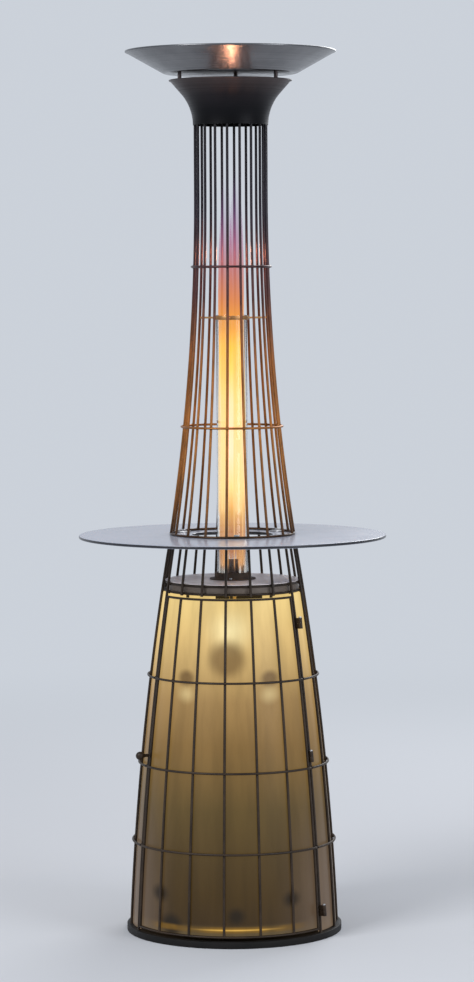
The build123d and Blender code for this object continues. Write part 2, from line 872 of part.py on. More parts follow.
def make_control_tray():
    box = block(
        -tray_half_width, tray_half_width, tray_face_y, tray_depth_limit, tray_bottom_height, tray_top_height
    )
    box -= block(
        -tray_half_width + tray_sheet, tray_half_width - tray_sheet,
        face_outer_y, tray_depth_limit + cut_past,
        tray_bottom_height + tray_sheet, tray_top_height - tray_sheet
    )
    inset = diffuser_inset + diffuser_thickness + weld_gap
    middle = (tray_bottom_height + tray_top_height) / 2
    side = ThreePointArc(*[(cage_radius(z, inset), z) for z in (tray_bottom_height, middle, tray_top_height)])
    room = side + Polyline(side @ 1, (0, tray_top_height), (0, tray_bottom_height), side @ 0)
    tray = box & spun(room)
    face_past = face_outer_y + cut_past
    tray -= rearward(spindle_radius + free_clearance, 0, face_past, control_aside, gas_valve_height)
    for height in button_places.values():
        tray -= rearward(barrel_radius + running_clearance, 0, face_past, -control_aside, height)
    return tray


def make_gas_valve():
    body = block(
        control_aside - gas_valve_width / 2, control_aside + gas_valve_width / 2, valve_back_y,
        tray_face_y - seat_gap, gas_valve_height - gas_valve_tall / 2, gas_valve_height + gas_valve_tall / 2
    )
    body = fillet(body.edges().filter_by(Axis.Y), gas_valve_round)
    inlet_top = gas_valve_height - gas_valve_tall / 2
    body += upright(inlet_radius, inlet_top - inlet_length, inlet_top, control_aside, hose_inlet_y)
    spindle_end = face_outer_y - spindle_in_valve
    body -= rearward(
        spindle_radius + running_clearance, spindle_end - 2 * knob_push, face_outer_y,
        control_aside, gas_valve_height,
    )
    socket_end = valve_back_y + pipe_insertion
    return body - rearward(pipe_radius + running_clearance, 0, socket_end, control_aside, gas_valve_height)


def make_gas_spindle():
    start = face_outer_y - spindle_in_valve
    return rearward(spindle_radius, start, start + spindle_length, control_aside, gas_valve_height)


def make_gas_knob():
    start = face_outer_y + gas_knob_gap
    end = start + gas_knob_length
    outline = Polyline(
        (0, start), (gas_knob_radius, start), (gas_knob_radius, start + gas_knob_cap),
        (gas_knob_waist, start + 2 * gas_knob_cap), (gas_knob_tip, end), (0, end), close=True
    )
    knob = revolve(make_face(outline), Axis.Y)
    tip = knob.faces().sort_by(Axis.Y)[-1].edges()
    knob = fillet(tip, gas_knob_round)
    bore_end = face_outer_y - spindle_in_valve + spindle_length + free_clearance
    knob = Pos(control_aside, 0, gas_valve_height) * knob
    return knob - rearward(spindle_radius + running_clearance, 0, bore_end, control_aside, gas_valve_height)


def make_button_barrels():
    barrels = []
    for height in button_places.values():
        start = tray_face_y - button_barrel_inside
        end = face_outer_y + button_barrel_outside
        barrel = rearward(barrel_radius, start, end, -control_aside, height)
        flange_start = face_outer_y + seat_gap
        barrel += rearward(
            button_flange_radius, flange_start, flange_start + button_flange_thickness, -control_aside, height
        )
        barrel -= rearward(
            button_radius + running_clearance, end - button_well, end + cut_past, -control_aside, height
        )
        barrels.append(barrel)
    return barrels


def make_button(height):
    end = face_outer_y + button_barrel_outside + button_proud
    button = rearward(button_radius, end - button_length, end, -control_aside, height)
    return fillet(button.faces().sort_by(Axis.Y)[-1].edges(), button_round)


# Gas bottle and its fittings
bottle_bottom = plate_top + bottle_bottom_lift
bottle_top = bottle_bottom + bottle_body_height
neck_top = bottle_top + bottle_neck_height
valve_top = neck_top + valve_body_height
outlet_height = neck_top + valve_outlet_rise


def bottle_outline(inset):
    """Half outline of the bottle's body without its neck, from the axis at the bottom to that at the top."""
    low_round = bottle_bottom_round - inset
    high_round = bottle_top_round - inset
    low = bottle_bottom + inset
    high = bottle_top - inset
    wide = bottle_radius - inset
    diagonal = math.sqrt(0.5)
    low_x = wide - low_round
    high_x = wide - high_round
    outline = Line((0, low), (low_x, low))
    low_middle = (low_x + low_round * diagonal, low + low_round * (1 - diagonal))
    high_middle = (high_x + high_round * diagonal, high - high_round * (1 - diagonal))
    outline += ThreePointArc((low_x, low), low_middle, (wide, low + low_round))
    outline += Line((wide, low + low_round), (wide, high - high_round))
    outline += ThreePointArc((wide, high - high_round), high_middle, (high_x, high))
    return outline + Line((high_x, high), (0, high)) + Line((0, high), (0, low))


def make_gas_bottle():
    body = spun(bottle_outline(0))
    body += upright(bottle_neck_radius, bottle_top - bottle_wall, neck_top)
    foot_top = plate_top + bottle_foot_height
    body += ring(bottle_foot_radius - bottle_wall, bottle_foot_radius, plate_top, foot_top)
    body -= spun(bottle_outline(bottle_wall))
    return body - upright(bottle_bore_radius, bottle_top - 2 * bottle_wall, neck_top + cut_past)


def make_bottle_guard():
    inner = guard_radius - guard_wall
    over = inner - (bottle_radius - bottle_top_round)
    bottom = bottle_top - bottle_top_round + math.sqrt(bottle_top_round ** 2 - over ** 2) + seat_gap
    top = bottle_top + guard_height
    middle = Pos((inner + guard_radius) / 2, (bottom + top) / 2)
    section = front_plane * middle * Rectangle(guard_wall, top - bottom)
    guard = turned(revolve(section, Axis.Z, 360 - guard_gap_angle), guard_gap_angle / 2)
    grip_top = top - guard_grip_below_top
    grip = block(
        -2 * guard_radius, 2 * guard_radius, -guard_grip_width / 2, guard_grip_width / 2,
        grip_top - guard_grip_height, grip_top
    )
    return guard - grip


def make_bottle_valve():
    body = upright(bottle_bore_radius - running_clearance, bottle_top, neck_top + cut_past)
    body += upright(valve_body_radius, neck_top + seat_gap, valve_top)
    outlet = Pos(0, 0, outlet_height) * Rot(90, 0, 0) * upright(valve_outlet_radius, 0, valve_outlet_length)
    return body + outlet + upright(valve_spindle_radius, valve_top, valve_top + valve_spindle_height)


def make_handwheel():
    bottom = valve_top + handwheel_gap
    top = bottom + handwheel_height
    middle = (bottom + top) / 2
    rim_inner = handwheel_radius - handwheel_rim
    rim_bottom = middle - handwheel_rim / 2
    rim_top = middle + handwheel_rim / 2
    web_bottom = middle - handwheel_web / 2
    web_top = middle + handwheel_web / 2
    outline = Polyline(
        (0, bottom), (handwheel_hub_radius, bottom), (handwheel_hub_radius, web_bottom),
        (rim_inner, web_bottom), (rim_inner, rim_bottom), (handwheel_radius, rim_bottom),
        (handwheel_radius, rim_top), (rim_inner, rim_top), (rim_inner, web_top),
        (handwheel_hub_radius, web_top), (handwheel_hub_radius, top), (0, top), close=True,
    )
    wheel = spun(outline)
    window_circle = (handwheel_hub_radius + rim_inner) / 2
    window_radius = (rim_inner - handwheel_hub_radius) / 2 - handwheel_web / 4
    for i in range(handwheel_window_count):
        centre = spot(window_circle, 360.0 * i / handwheel_window_count)
        wheel -= upright(window_radius, bottom, top, centre.X, centre.Y)
    return wheel - upright(valve_spindle_radius + running_clearance, bottom - cut_past, top + cut_past)


def make_regulator():
    nut_start = valve_outlet_length - regulator_nut_grip
    nut = extrude(RegularPolygon(regulator_nut_radius, 6), regulator_nut_length)
    body = Pos(0, -nut_start, outlet_height) * Rot(90, 0, 0) * nut
    neck = Rot(90, 0, 0) * upright(regulator_neck_radius, nut_start + regulator_nut_length, regulator_reach)
    body += Pos(0, 0, outlet_height) * neck
    bottom = outlet_height - regulator_height / 2
    top = bottom + regulator_height
    body += upright(regulator_radius, bottom, top, y=-regulator_reach)
    body += upright(regulator_cap_radius, top, top + regulator_cap_height, y=-regulator_reach)
    nipple = Rot(0, 90, 0) * upright(nipple_radius, 0, nipple_end)
    body += Pos(0, -regulator_reach, outlet_height) * nipple
    bore = Rot(90, 0, 0) * upright(valve_outlet_radius + running_clearance, 0, valve_outlet_length + seat_gap)
    return body - Pos(0, 0, outlet_height) * bore


# The hose's route, from the regulator round the bottle's guard to the valve's inlet
hose_inlet_z = gas_valve_height - gas_valve_tall / 2 - inlet_length
hose_route = [
    (nipple_end + seat_gap, -regulator_reach, outlet_height),
    (hose_turn_aside, -regulator_reach, outlet_height),
    hose_low_bend,
    hose_side_bend,
    hose_rear_bend,
    (control_aside, hose_inlet_y, hose_rise_start),
    (control_aside, hose_inlet_y, hose_inlet_z - seat_gap),
]


def round_bar(route, radius, bends):
    """Round bar along straight runs joined by arcs."""
    path = FilletPolyline(*route, radius=bends)
    return sweep(Plane(path @ 0, z_dir=path % 0) * Circle(radius), path)


def make_gas_hose():
    bends = []
    for before, corner, after in zip(hose_route, hose_route[1:], hose_route[2:]):
        first = Vector(corner) - Vector(before)
        second = Vector(after) - Vector(corner)
        half_turn = math.radians(first.get_angle(second) / 2)
        bends.append(hose_bend_share * min(first.length, second.length) / math.tan(half_turn))
    print("hose bends", [round(bend) for bend in bends])
    return round_bar(hose_route, hose_radius, bends)


def make_gas_pipe():
    injector_bottom = mixing_bottom - injector_height
    route = [
        (control_aside, valve_back_y + pipe_insertion - seat_gap, gas_valve_height),
        (control_aside, 0, gas_valve_height),
        (0, 0, gas_valve_height),
        (0, 0, injector_bottom + pipe_insertion - seat_gap),
    ]
    return round_bar(route, pipe_radius, pipe_bend_radius)


# Lamps
cup_radius = globe_radius + free_clearance + globe_cup_wall
cup_bottom = globe_height - cup_radius
boss_bottom = cup_bottom - globe_cup_wall
stem_top = deck_bottom - seat_gap
spot_bearings = (-spot_bearing, spot_bearing)


def make_lamp_stems():
    arm_height = boss_bottom - seat_gap - stem_radius
    turn = (0, -globe_stem_reach, arm_height)
    route = [(0, -globe_stem_reach, stem_top), turn, (0, -globe_reach, arm_height)]
    stems = [round_bar(route, stem_radius, stem_bend_radius)]
    for bearing in spot_bearings:
        centre = spot(spot_reach, bearing)
        stems.append(upright(stem_radius, spot_top_height + seat_gap, stem_top, centre.X, centre.Y))
    return stems


def make_lamp_housings():
    cup = Sphere(cup_radius) - Sphere(globe_radius + free_clearance)
    cup &= block(-cup_radius, cup_radius, -cup_radius, cup_radius, -cup_radius, -globe_cup_depth)
    cup += upright(globe_cup_boss_radius, boss_bottom - globe_height, -globe_radius - free_clearance)
    cup -= Sphere(globe_radius + free_clearance)
    housings = [Pos(0, -globe_reach, globe_height) * cup]
    for bearing in spot_bearings:
        centre = spot(spot_reach, bearing)
        bottom = spot_top_height - spot_length
        can = upright(spot_radius, bottom, spot_top_height)
        can = fillet(can.faces().sort_by(Axis.Z)[-1].edges(), spot_round)
        can -= upright(spot_lens_radius + running_clearance, bottom - cut_past, bottom + spot_lens_thickness)
        housings.append(Pos(centre.X, centre.Y, 0) * can)
    return housings


def make_globe_lamp():
    globe = Sphere(globe_radius) - Sphere(globe_radius - globe_wall)
    globe -= upright(globe_neck_radius, -2 * globe_radius, 0)
    return Pos(0, -globe_reach, globe_height) * globe


def make_spot_lenses():
    bottom = spot_top_height - spot_length
    lenses = []
    for bearing in spot_bearings:
        centre = spot(spot_reach, bearing)
        lenses.append(
            upright(spot_lens_radius, bottom, bottom + spot_lens_thickness - seat_gap, centre.X, centre.Y)
        )
    return lenses


nodes = {
    "base_ring": make_base_ring(),
    "base_plate": make_base_plate(),
    "bottle_stops": make_bottle_stops(),
    "cage_rods": make_cage_rods(),
    "neck_rods": make_neck_rods(),
    "cage_hoops": make_cage_hoops(),
    "neck_hoops": make_neck_hoops(),
    "table_hoop": make_table_hoop(),
    "rear_diffuser": make_rear_diffuser(),
    "door_panel": make_door_panel(),
    "door_rods": make_door_rods(),
    "door_rails": make_door_rails(),
    "door_hoops": make_door_hoops(),
    "door_knob": make_door_knob(),
    "door_magnet": make_catch(-1),
    "door_keeper": make_catch(1),
    "hinge_jamb_eyes": [make_eye(height, 1, hinge_pin_fit) for height in hinge_heights],
    "hinge_door_eyes": [make_eye(height, -1, running_clearance) for height in hinge_heights],
    "hinge_pins": [make_hinge_pin(height) for height in hinge_heights],
    "deck": make_deck(),
    "burner_seat": make_burner_seat(),
    "burner_screws": make_burner_screws(),
    "mixing_tube": make_mixing_tube(),
    "burner": make_burner(),
    "injector": make_injector(),
    "igniter_electrode": make_probe("igniter_electrode"),
    "thermocouple": make_probe("thermocouple"),
    "glass_tube": make_glass_tube(),
    "tube_ring": make_tube_ring(),
    "table_top": make_table_top(),
    "table_lugs": make_table_lugs(),
    "table_bolts": make_table_bolts(),
    "tower_base_hoop": make_tower_base_hoop(),
    "tower_rods": make_tower_rods(),
    "tower_hoops": make_tower_hoops(),
    "tower_top_ring": make_tower_top_ring(),
    "collar": make_collar(),
    "dish_posts": make_dish_posts(),
    "dish": make_dish(),
    "dish_screws": make_dish_screws(),
    "control_tray": make_control_tray(),
    "gas_valve": make_gas_valve(),
    "gas_spindle": make_gas_spindle(),
    "gas_knob": make_gas_knob(),
    "button_barrels": make_button_barrels(),
    "igniter_button": make_button(igniter_height),
    "lamp_switch_button": make_button(lamp_switch_height),
    "gas_bottle": make_gas_bottle(),
    "bottle_guard": make_bottle_guard(),
    "bottle_valve": make_bottle_valve(),
    "handwheel": make_handwheel(),
    "regulator": make_regulator(),
    "gas_hose": make_gas_hose(),
    "gas_pipe": make_gas_pipe(),
    "lamp_stems": make_lamp_stems(),
    "lamp_housings": make_lamp_housings(),
    "globe_lamp": make_globe_lamp(),
    "spot_lenses": make_spot_lenses(),
}

os.makedirs("parts", exist_ok=True)
for name, shape in nodes.items():
    pieces = shape if isinstance(shape, list) else [shape]
    solids = [solid for piece in pieces for solid in piece.solids()]
    export_step(Compound(solids) if len(solids) > 1 else solids[0], f"parts/{name}.step")

print("hinge line from", hinge_low, "along", hinge_line)
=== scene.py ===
import math

import bmesh
import bpy
from mathutils import Matrix, Vector


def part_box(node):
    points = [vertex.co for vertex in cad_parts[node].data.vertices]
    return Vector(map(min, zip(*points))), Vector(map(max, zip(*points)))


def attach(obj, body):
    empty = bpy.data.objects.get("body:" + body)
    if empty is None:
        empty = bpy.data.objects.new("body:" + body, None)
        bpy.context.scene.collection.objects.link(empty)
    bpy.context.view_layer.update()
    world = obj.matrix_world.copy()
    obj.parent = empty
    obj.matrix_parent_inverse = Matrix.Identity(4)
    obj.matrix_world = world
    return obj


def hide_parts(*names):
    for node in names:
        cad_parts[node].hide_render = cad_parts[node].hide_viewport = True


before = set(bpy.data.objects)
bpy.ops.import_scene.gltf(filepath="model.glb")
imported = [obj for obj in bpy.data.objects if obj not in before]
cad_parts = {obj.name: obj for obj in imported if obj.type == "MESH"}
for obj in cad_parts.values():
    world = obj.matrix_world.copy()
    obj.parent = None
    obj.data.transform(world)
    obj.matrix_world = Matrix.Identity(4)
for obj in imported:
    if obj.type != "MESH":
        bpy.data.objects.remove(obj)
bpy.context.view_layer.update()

# Outdoor heater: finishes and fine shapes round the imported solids.
# Metres, the part's own frame: floor at z = 0, front at -Y, bearings from the front towards +X.

# Rods, hoops and welds
rod_radius = 0.0035
hoop_radius = 0.003
rod_count = 18
bar_sides = 14
hoop_steps = 144
weld_gap = 0.00015
touch_gap = 0.0001
weld_half_size = Vector((0.0040, 0.0030, 0.0046))
foot_weld_half_size = Vector((0.0052, 0.0052, 0.0022))
foot_weld_rise = 0.0005
arm_weld_half_size = Vector((0.0036, 0.0020, 0.0036))

# Edges and grain
sharp_angle = math.radians(32)
bevel_angle = math.radians(40)
flat_angle = math.radians(0.4)
longest_ease_share = 0.45
coat_grain_depth = 0.0003
ring_grain_depth = 0.0002

# Base
base_ring_inner = 0.238
base_ring_outer = 0.281
base_wall_inner = 0.258
base_ring_height = 0.017
base_plate_radius = 0.2577
base_plate_bottom = 0.004
base_plate_top = 0.010

# Table
table_top_height = 1.036
table_bottom_height = 1.028
table_radius = 0.400
table_hole_radius = 0.105

# Lower cage and door
cage_foot = Vector((0.270, base_ring_height))
cage_head = Vector((0.162, table_bottom_height))
cage_bow_radius = 8.080
cage_hoop_heights = (0.238, 0.443, 0.671)
rim_hoop_height = 0.893
deck_hoop_height = 0.914
neck_rod_foot = 0.8885
door_half_angle = math.radians(60)
door_rod_aside = 0.005
hoop_end_aside = 0.0025
panel_edge_aside = 0.001
door_bottom_rail_height = 0.027
door_top_rail_height = 0.881
pull_height = 0.472
pull_ball_radius = 0.0110
pull_ball_reach = 0.0266

# Diffuser, with a window for the control tray at the rear
diffuser_thickness = 0.002
diffuser_bottom_height = 0.019
diffuser_top_height = 0.889
window_half_width = 0.060
window_bottom = 0.755
window_top = 0.871

# Tower
tower_foot_radius = 0.161
tower_head_radius = 0.0923
tower_bow_radius = 5.780
tower_hoop_heights = (1.317, 1.731)
tower_rod_top = 2.121
tower_ring_height = 2.109

# Collar and dish
collar_bottom_height = 2.096
collar_rise = 0.115
collar_arc_rise = 0.085
collar_flare_radius = 0.125
collar_sheet = 0.0015
collar_hem_radius = 0.0016
post_circle_radius = 0.143
dish_floor_height = 2.228
dish_floor_radius = 0.172
dish_rim_radius = 0.270
dish_rim_rise = 0.056
dish_sheet = 0.002
dish_bead_radius = 0.0025
dish_knee = 0.006
three_way = math.radians(120)

# Deck, burner and glass
deck_top = 0.91905
deck_thickness = 0.002
deck_edge_gap = 0.0015
deck_groove_inner = 0.140
deck_groove_outer = 0.148
deck_groove_slope = 0.002
deck_groove_depth = 0.0006
skirt_sheet = 0.001
skirt_gap = 0.0008
burner_bore_radius = 0.0122
seat_flange_radius = 0.060
seat_flange_thickness = 0.003
seat_wall_radius = 0.047
seat_fillet = 0.002
seat_top = 0.93705
seat_groove_depth = 0.008
tube_radius = 0.040
tube_wall = 0.0025
tube_gap = 0.0003
tube_top_height = 1.606
tube_ring_bottom = 1.594
tube_ring_height = 0.010
tube_ring_outer = 0.0448
tube_arm_radius = 0.0025
tube_arm_overlap = 0.001

# Flame: flat fins and curved sheets inside the glass, and two tongues that leave its top
flame_gap = 0.0010
flame_rows = 48
flame_columns = 13
fin_inner = 0.014
fin_bottom = 0.941
fin_tops = (1.36, 1.48, 1.40, 1.45, 1.38, 1.50, 1.42, 1.46)
fin_first_bearing = math.radians(16)
sheet_bottom = 1.08
sheet_tops = (1.60, 1.56, 1.61, 1.58, 1.62, 1.57)
sheet_first_bearing = math.radians(90)
sheet_half_angle = math.radians(24)
sheet_lean = 0.004
tongue_bottom = 0.96
tongue_sway = 0.0016
tongue_sway_rate = 8
tongue_half_angle = 0.66 * math.pi
tongue_taper_start = 0.64
tongue_taper_power = 0.55
tongue_tip_radius = 0.0006
# Each tongue: phase of its sway, place across, top and radius
tongue_forms = ((-1, -0.0140, 1.985, 0.0185), (1, 0.0120, 2.000, 0.0200))

# Gas bottle, hose and control tray
bottle_radius = 0.158
bottle_bottom = 0.032
bottle_top = 0.452
bottle_low_round = 0.060
bottle_high_round = 0.080
bottle_neck_rise = 0.018
bottle_foot_inner = 0.115
bottle_foot_outer = 0.118
bottle_foot_top = 0.055
hose_radius = 0.006
hose_route = [
    (0.05005, -0.080, 0.492), (0.118, -0.080, 0.492), (0.166, -0.028, 0.512), (0.168, 0.052, 0.556),
    (0.118, 0.118, 0.612), (0.033, 0.130, 0.684), (0.033, 0.130, 0.77795),
]
sleeve_length = 0.020
sleeve_rim_wall = 0.0012
sleeve_wall = 0.0018
crimp_depth = 0.0007
crimp_count = 9
tray_face = 0.162
off_mark = math.radians(-90)
mark_pitch = math.radians(30)
mark_count = 7
mark_circle_radius = 0.0245
pointer_circle_radius = 0.0078
pointer_stretch = 4.2

# Camera, from the photograph's perspective: distance from the axis, height, and small turns in degrees
image_size = (474, 982)
focal_pixels = 3250
camera_distance = 8.443
camera_height = 1.696
camera_azimuth = 5.6
camera_yaw = 0.083
camera_pitch = 3.711
camera_roll = -0.271

# Stage
backdrop_colour = (0.60, 0.64, 0.70)
floor_colour = (0.62, 0.64, 0.68)
room_colour = (0.92, 0.95, 1.0)
room_strength = 0.50
floor_radius = 40
floor_thickness = 0.01
floor_fade_start = 1.2
floor_fade_end = 6.0
flame_glow_power = 3.0
flame_glow_radius = 0.024

# Values worked out from the sizes above
rod_pitch = 2 * math.pi / rod_count
rod_foot_height = base_ring_height + touch_gap
table_hoop_height = table_bottom_height - hoop_radius
rod_head_height = table_hoop_height - hoop_radius
cage_chord = cage_head - cage_foot
cage_outward = Vector((cage_chord.y, -cage_chord.x)).normalized()
cage_sag = math.sqrt(cage_bow_radius ** 2 - (cage_chord.length / 2) ** 2)
cage_centre = (cage_foot + cage_head) / 2 - cage_outward * cage_sag
tower_spread = tower_foot_radius - tower_head_radius
tower_bow_drop = math.sqrt(tower_bow_radius ** 2 - (tower_bow_radius - tower_spread) ** 2)
tower_bow_height = table_top_height + tower_bow_drop
diffuser_inset = rod_radius + weld_gap
hoop_out = rod_radius + hoop_radius + weld_gap
tube_inner = tube_radius - tube_wall
tube_fit_radius = tube_radius + tube_gap
flame_reach = tube_inner - flame_gap
bottle_seam = (bottle_bottom + bottle_top) / 2
quarter_turn = math.radians(90)
rear = math.pi


def edge_places(aside):
    """Places of the single rods at the door's edges, shifted away from the door or, if negative, into it."""
    return [(side * door_half_angle, 0.0, 1, side * aside) for side in (-1, 1)]


# Places round the axis: first bearing, pitch, count and sideways shift
all_places = [(0.0, rod_pitch, rod_count, 0.0)]
front_places = [(-2 * rod_pitch, rod_pitch, 5, 0.0)]
frame_places = [(4 * rod_pitch, rod_pitch, 11, 0.0)] + edge_places(door_rod_aside)
door_places = front_places + edge_places(-door_rod_aside)
three_places = [(0.0, three_way, 3, 0.0)]


def cage_radius(height, inset=0.0):
    """Radius of the lower cage's bowed rods at a height, or of a bow set in from them."""
    return cage_centre.x + math.sqrt((cage_bow_radius - inset) ** 2 - (height - cage_centre.y) ** 2)


def tower_radius(height):
    """Radius of the tower's rods at a height."""
    below = max(tower_bow_height - height, 0)
    return tower_head_radius + tower_bow_radius - math.sqrt(tower_bow_radius ** 2 - below ** 2)


def spot(radius, bearing, height=0.0):
    """Point at a radius and bearing."""
    return Vector((radius * math.sin(bearing), -radius * math.cos(bearing), height))


def spread(start, end, count):
    """Evenly spaced values from start to end."""
    return [start + (end - start) * i / (count - 1) for i in range(count)]


def ring_corners(inner, outer, bottom, top):
    """Section of a plain ring, in radius and height."""
    return [(inner, bottom), (outer, bottom), (outer, top), (inner, top)]


# Meshes
def new_object(name, data):
    made = bpy.data.objects.new(name, data)
    bpy.context.scene.collection.objects.link(made)
    return made


def built(name, bm, finish):
    """Object of one finish from the faces drawn in bm."""
    for face in bm.faces:
        face.material_index = 0
    mesh = bpy.data.meshes.new(name)
    bm.to_mesh(mesh)
    bm.free()
    mesh.materials.append(finish)
    return new_object(name, mesh)


def finished(obj):
    """Turns an object's modifiers into a plain mesh."""
    shape = obj.evaluated_get(bpy.context.evaluated_depsgraph_get())
    mesh = bpy.data.meshes.new_from_object(shape)
    obj.modifiers.clear()
    obj.data = mesh
    return obj


def shaded(mesh):
    """Smooth shading that keeps sharp edges."""
    mesh.shade_smooth()
    mesh.set_sharp_from_angle(angle=sharp_angle)


def settle(piece, body, slot_name, *nodes):
    """Lets a finished piece ride on its body and stand for its solids."""
    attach(piece, body)
    if nodes:
        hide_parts(*nodes)
    return piece


def joined(name, parts):
    """One object from several of the same finish."""
    bm = bmesh.new()
    finish = parts[0].data.materials[0]
    for part in parts:
        bm.from_mesh(part.data)
        bpy.data.objects.remove(part)
    return built(name, bm, finish)


def eased(corners, ease, steps=4, closed=True):
    """Outline with its corners rounded off."""
    points = [Vector(corner) for corner in corners]
    rounded = []
    count = len(points)
    for i, corner in enumerate(points):
        if not closed and i in (0, count - 1):
            rounded.append(corner)
            continue
        before = points[i - 1] - corner
        after = points[(i + 1) % count] - corner
        cut = min(ease, longest_ease_share * min(before.length, after.length))
        start = corner + before.normalized() * cut
        end = corner + after.normalized() * cut
        for t in spread(0, 1, steps):
            rounded.append(start * (1 - t) ** 2 + corner * 2 * t * (1 - t) + end * t ** 2)
    return rounded


def lathe(name, outline, finish, steps=128, closed=True, place=None, flutes=None):
    """Body of revolution from an outline in radius and height; an open one starts and ends on the axis."""
    bm = bmesh.new()
    rings = []
    for radius, height in outline:
        if radius < 1e-6:
            rings.append([bm.verts.new((0, 0, height))])
            continue
        ring = []
        for i in range(steps):
            angle = 2 * math.pi * i / steps
            wide = radius
            if flutes and flutes["low"] < height < flutes["high"]:
                wide = radius - flutes["depth"] * (0.5 + 0.5 * math.cos(flutes["count"] * angle))
            ring.append(bm.verts.new(spot(wide, angle, height)))
        rings.append(ring)
    pairs = list(zip(rings, rings[1:]))
    if closed:
        pairs.append((rings[-1], rings[0]))
    for low, high in pairs:
        for i in range(steps):
            after = (i + 1) % steps
            corners = [low[i % len(low)], low[after % len(low)], high[after % len(high)], high[i % len(high)]]
            corners = list(dict.fromkeys(corners))
            if len(corners) > 2:
                bm.faces.new(corners)
    bmesh.ops.recalc_face_normals(bm, faces=bm.faces)
    piece = built(name, bm, finish)
    shaded(piece.data)
    if place:
        piece.data.transform(place)
    return piece


def refined(solid, finish, body, slot_name, ease):
    """Copy of a solid with merged facets and eased edges, standing for it."""
    bm = bmesh.new()
    bm.from_mesh(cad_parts[solid].data)
    bmesh.ops.remove_doubles(bm, verts=bm.verts, dist=1e-6)
    bmesh.ops.dissolve_limit(bm, angle_limit=flat_angle, verts=bm.verts, edges=bm.edges)
    piece = built(solid + "_finished", bm, finish)
    shaded(piece.data)
    if ease:
        edge = piece.modifiers.new("eased_edges", "BEVEL")
        edge.width = ease
        edge.segments = 2
        edge.limit_method = "ANGLE"
        edge.angle_limit = bevel_angle
        edge.use_clamp_overlap = True
        shaded(finished(piece).data)
    return settle(piece, body, slot_name, solid)


# Geometry node trees for what repeats
def node(tree, kind, values=None, **settings):
    """New node with its settings, and values or links for its sockets."""
    made = tree.nodes.new(kind)
    for key, value in settings.items():
        setattr(made, key, value)
    for key, value in (values or {}).items():
        if isinstance(value, bpy.types.NodeSocket):
            tree.links.new(value, made.inputs[key])
        else:
            made.inputs[key].default_value = value
    return made


def maths(tree, kind, first, second=0.0):
    return node(tree, "ShaderNodeMath", {0: first, 1: second}, operation=kind).outputs[0]


def geometry_tree(name, sizes):
    """Empty geometry tree with a mesh input, named sizes and a finish."""
    tree = bpy.data.node_groups.new(name, "GeometryNodeTree")
    tree.interface.new_socket("Geometry", in_out="OUTPUT", socket_type="NodeSocketGeometry")
    for label, kind in {"Geometry": "Geometry", **sizes, "Finish": "Material"}.items():
        tree.interface.new_socket(label, in_out="INPUT", socket_type="NodeSocket" + kind)
    return tree, tree.nodes.new("NodeGroupInput").outputs, tree.nodes.new("NodeGroupOutput").inputs


def end_tree(tree, given, result, shape, smooth=True):
    """Ends a tree: real geometry with its finish, smooth unless the shape has a shading of its own."""
    shape = node(tree, "GeometryNodeRealizeInstances", {"Geometry": shape}).outputs[0]
    if smooth:
        shape = node(tree, "GeometryNodeSetShadeSmooth", {"Geometry": shape}).outputs[0]
    values = {"Geometry": shape, "Material": given["Finish"]}
    tree.links.new(node(tree, "GeometryNodeSetMaterial", values).outputs[0], result["Geometry"])
    return tree


def bar_along(tree, given, line, place):
    """Round bar along a curve, moved to a place."""
    values = {"Resolution": given["Sides"], "Radius": given["Bar Radius"]}
    section = node(tree, "GeometryNodeCurvePrimitiveCircle", values, mode="RADIUS").outputs[0]
    values = {"Curve": line, "Profile Curve": section, "Fill Caps": True}
    bar = node(tree, "GeometryNodeCurveToMesh", values).outputs[0]
    values = {"Geometry": bar, "Translation": place.outputs[0]}
    return node(tree, "GeometryNodeTransform", values).outputs[0]


def round_the_axis(tree, given, shape):
    """Copies of a shape made at the front, turned about the axis by bearings in even steps."""
    index = node(tree, "GeometryNodeInputIndex").outputs[0]
    bearing = maths(tree, "ADD", maths(tree, "MULTIPLY", index, given["Pitch"]), given["First Bearing"])
    angles = node(tree, "ShaderNodeCombineXYZ", {"Z": bearing})
    turned = node(tree, "FunctionNodeEulerToRotation", {0: angles.outputs[0]})
    points = node(tree, "GeometryNodePoints", {"Count": given["Count"]})
    values = {"Points": points.outputs[0], "Instance": shape, "Rotation": turned.outputs[0]}
    return node(tree, "GeometryNodeInstanceOnPoints", values).outputs[0]


round_sizes = {"Count": "Int", "First Bearing": "Float", "Pitch": "Float"}
bar_sizes = {"Bar Radius": "Float", "Sides": "Int"}


def make_bars_tree():
    """Round bars along a path drawn at the front."""
    tree, given, result = geometry_tree("bars_round_axis", {**bar_sizes, "Aside": "Float", **round_sizes})
    path = node(tree, "GeometryNodeMeshToCurve", {"Mesh": given["Geometry"]}).outputs[0]
    shift = node(tree, "ShaderNodeCombineXYZ", {"X": given["Aside"]})
    bar = bar_along(tree, given, path, shift)
    return end_tree(tree, given, result, round_the_axis(tree, given, bar))


def make_hoop_tree():
    """Round bar bent to a closed hoop, or to an arc of one."""
    sizes = {"Hoop Radius": "Float", "Height": "Float", "Steps": "Int"}
    sizes.update({"Closed": "Bool", "Start Angle": "Float", "Sweep": "Float"})
    tree, given, result = geometry_tree("bent_hoop", {**bar_sizes, **sizes})
    values = {"Resolution": given["Steps"], "Radius": given["Hoop Radius"]}
    whole = node(tree, "GeometryNodeCurvePrimitiveCircle", values, mode="RADIUS").outputs[0]
    values.update({"Start Angle": given["Start Angle"], "Sweep Angle": given["Sweep"]})
    part = node(tree, "GeometryNodeCurveArc", values, mode="RADIUS").outputs[0]
    values = {"Switch": given["Closed"], "False": part, "True": whole}
    line = node(tree, "GeometryNodeSwitch", values, input_type="GEOMETRY").outputs[0]
    lift = node(tree, "ShaderNodeCombineXYZ", {"Z": given["Height"]})
    return end_tree(tree, given, result, bar_along(tree, given, line, lift))


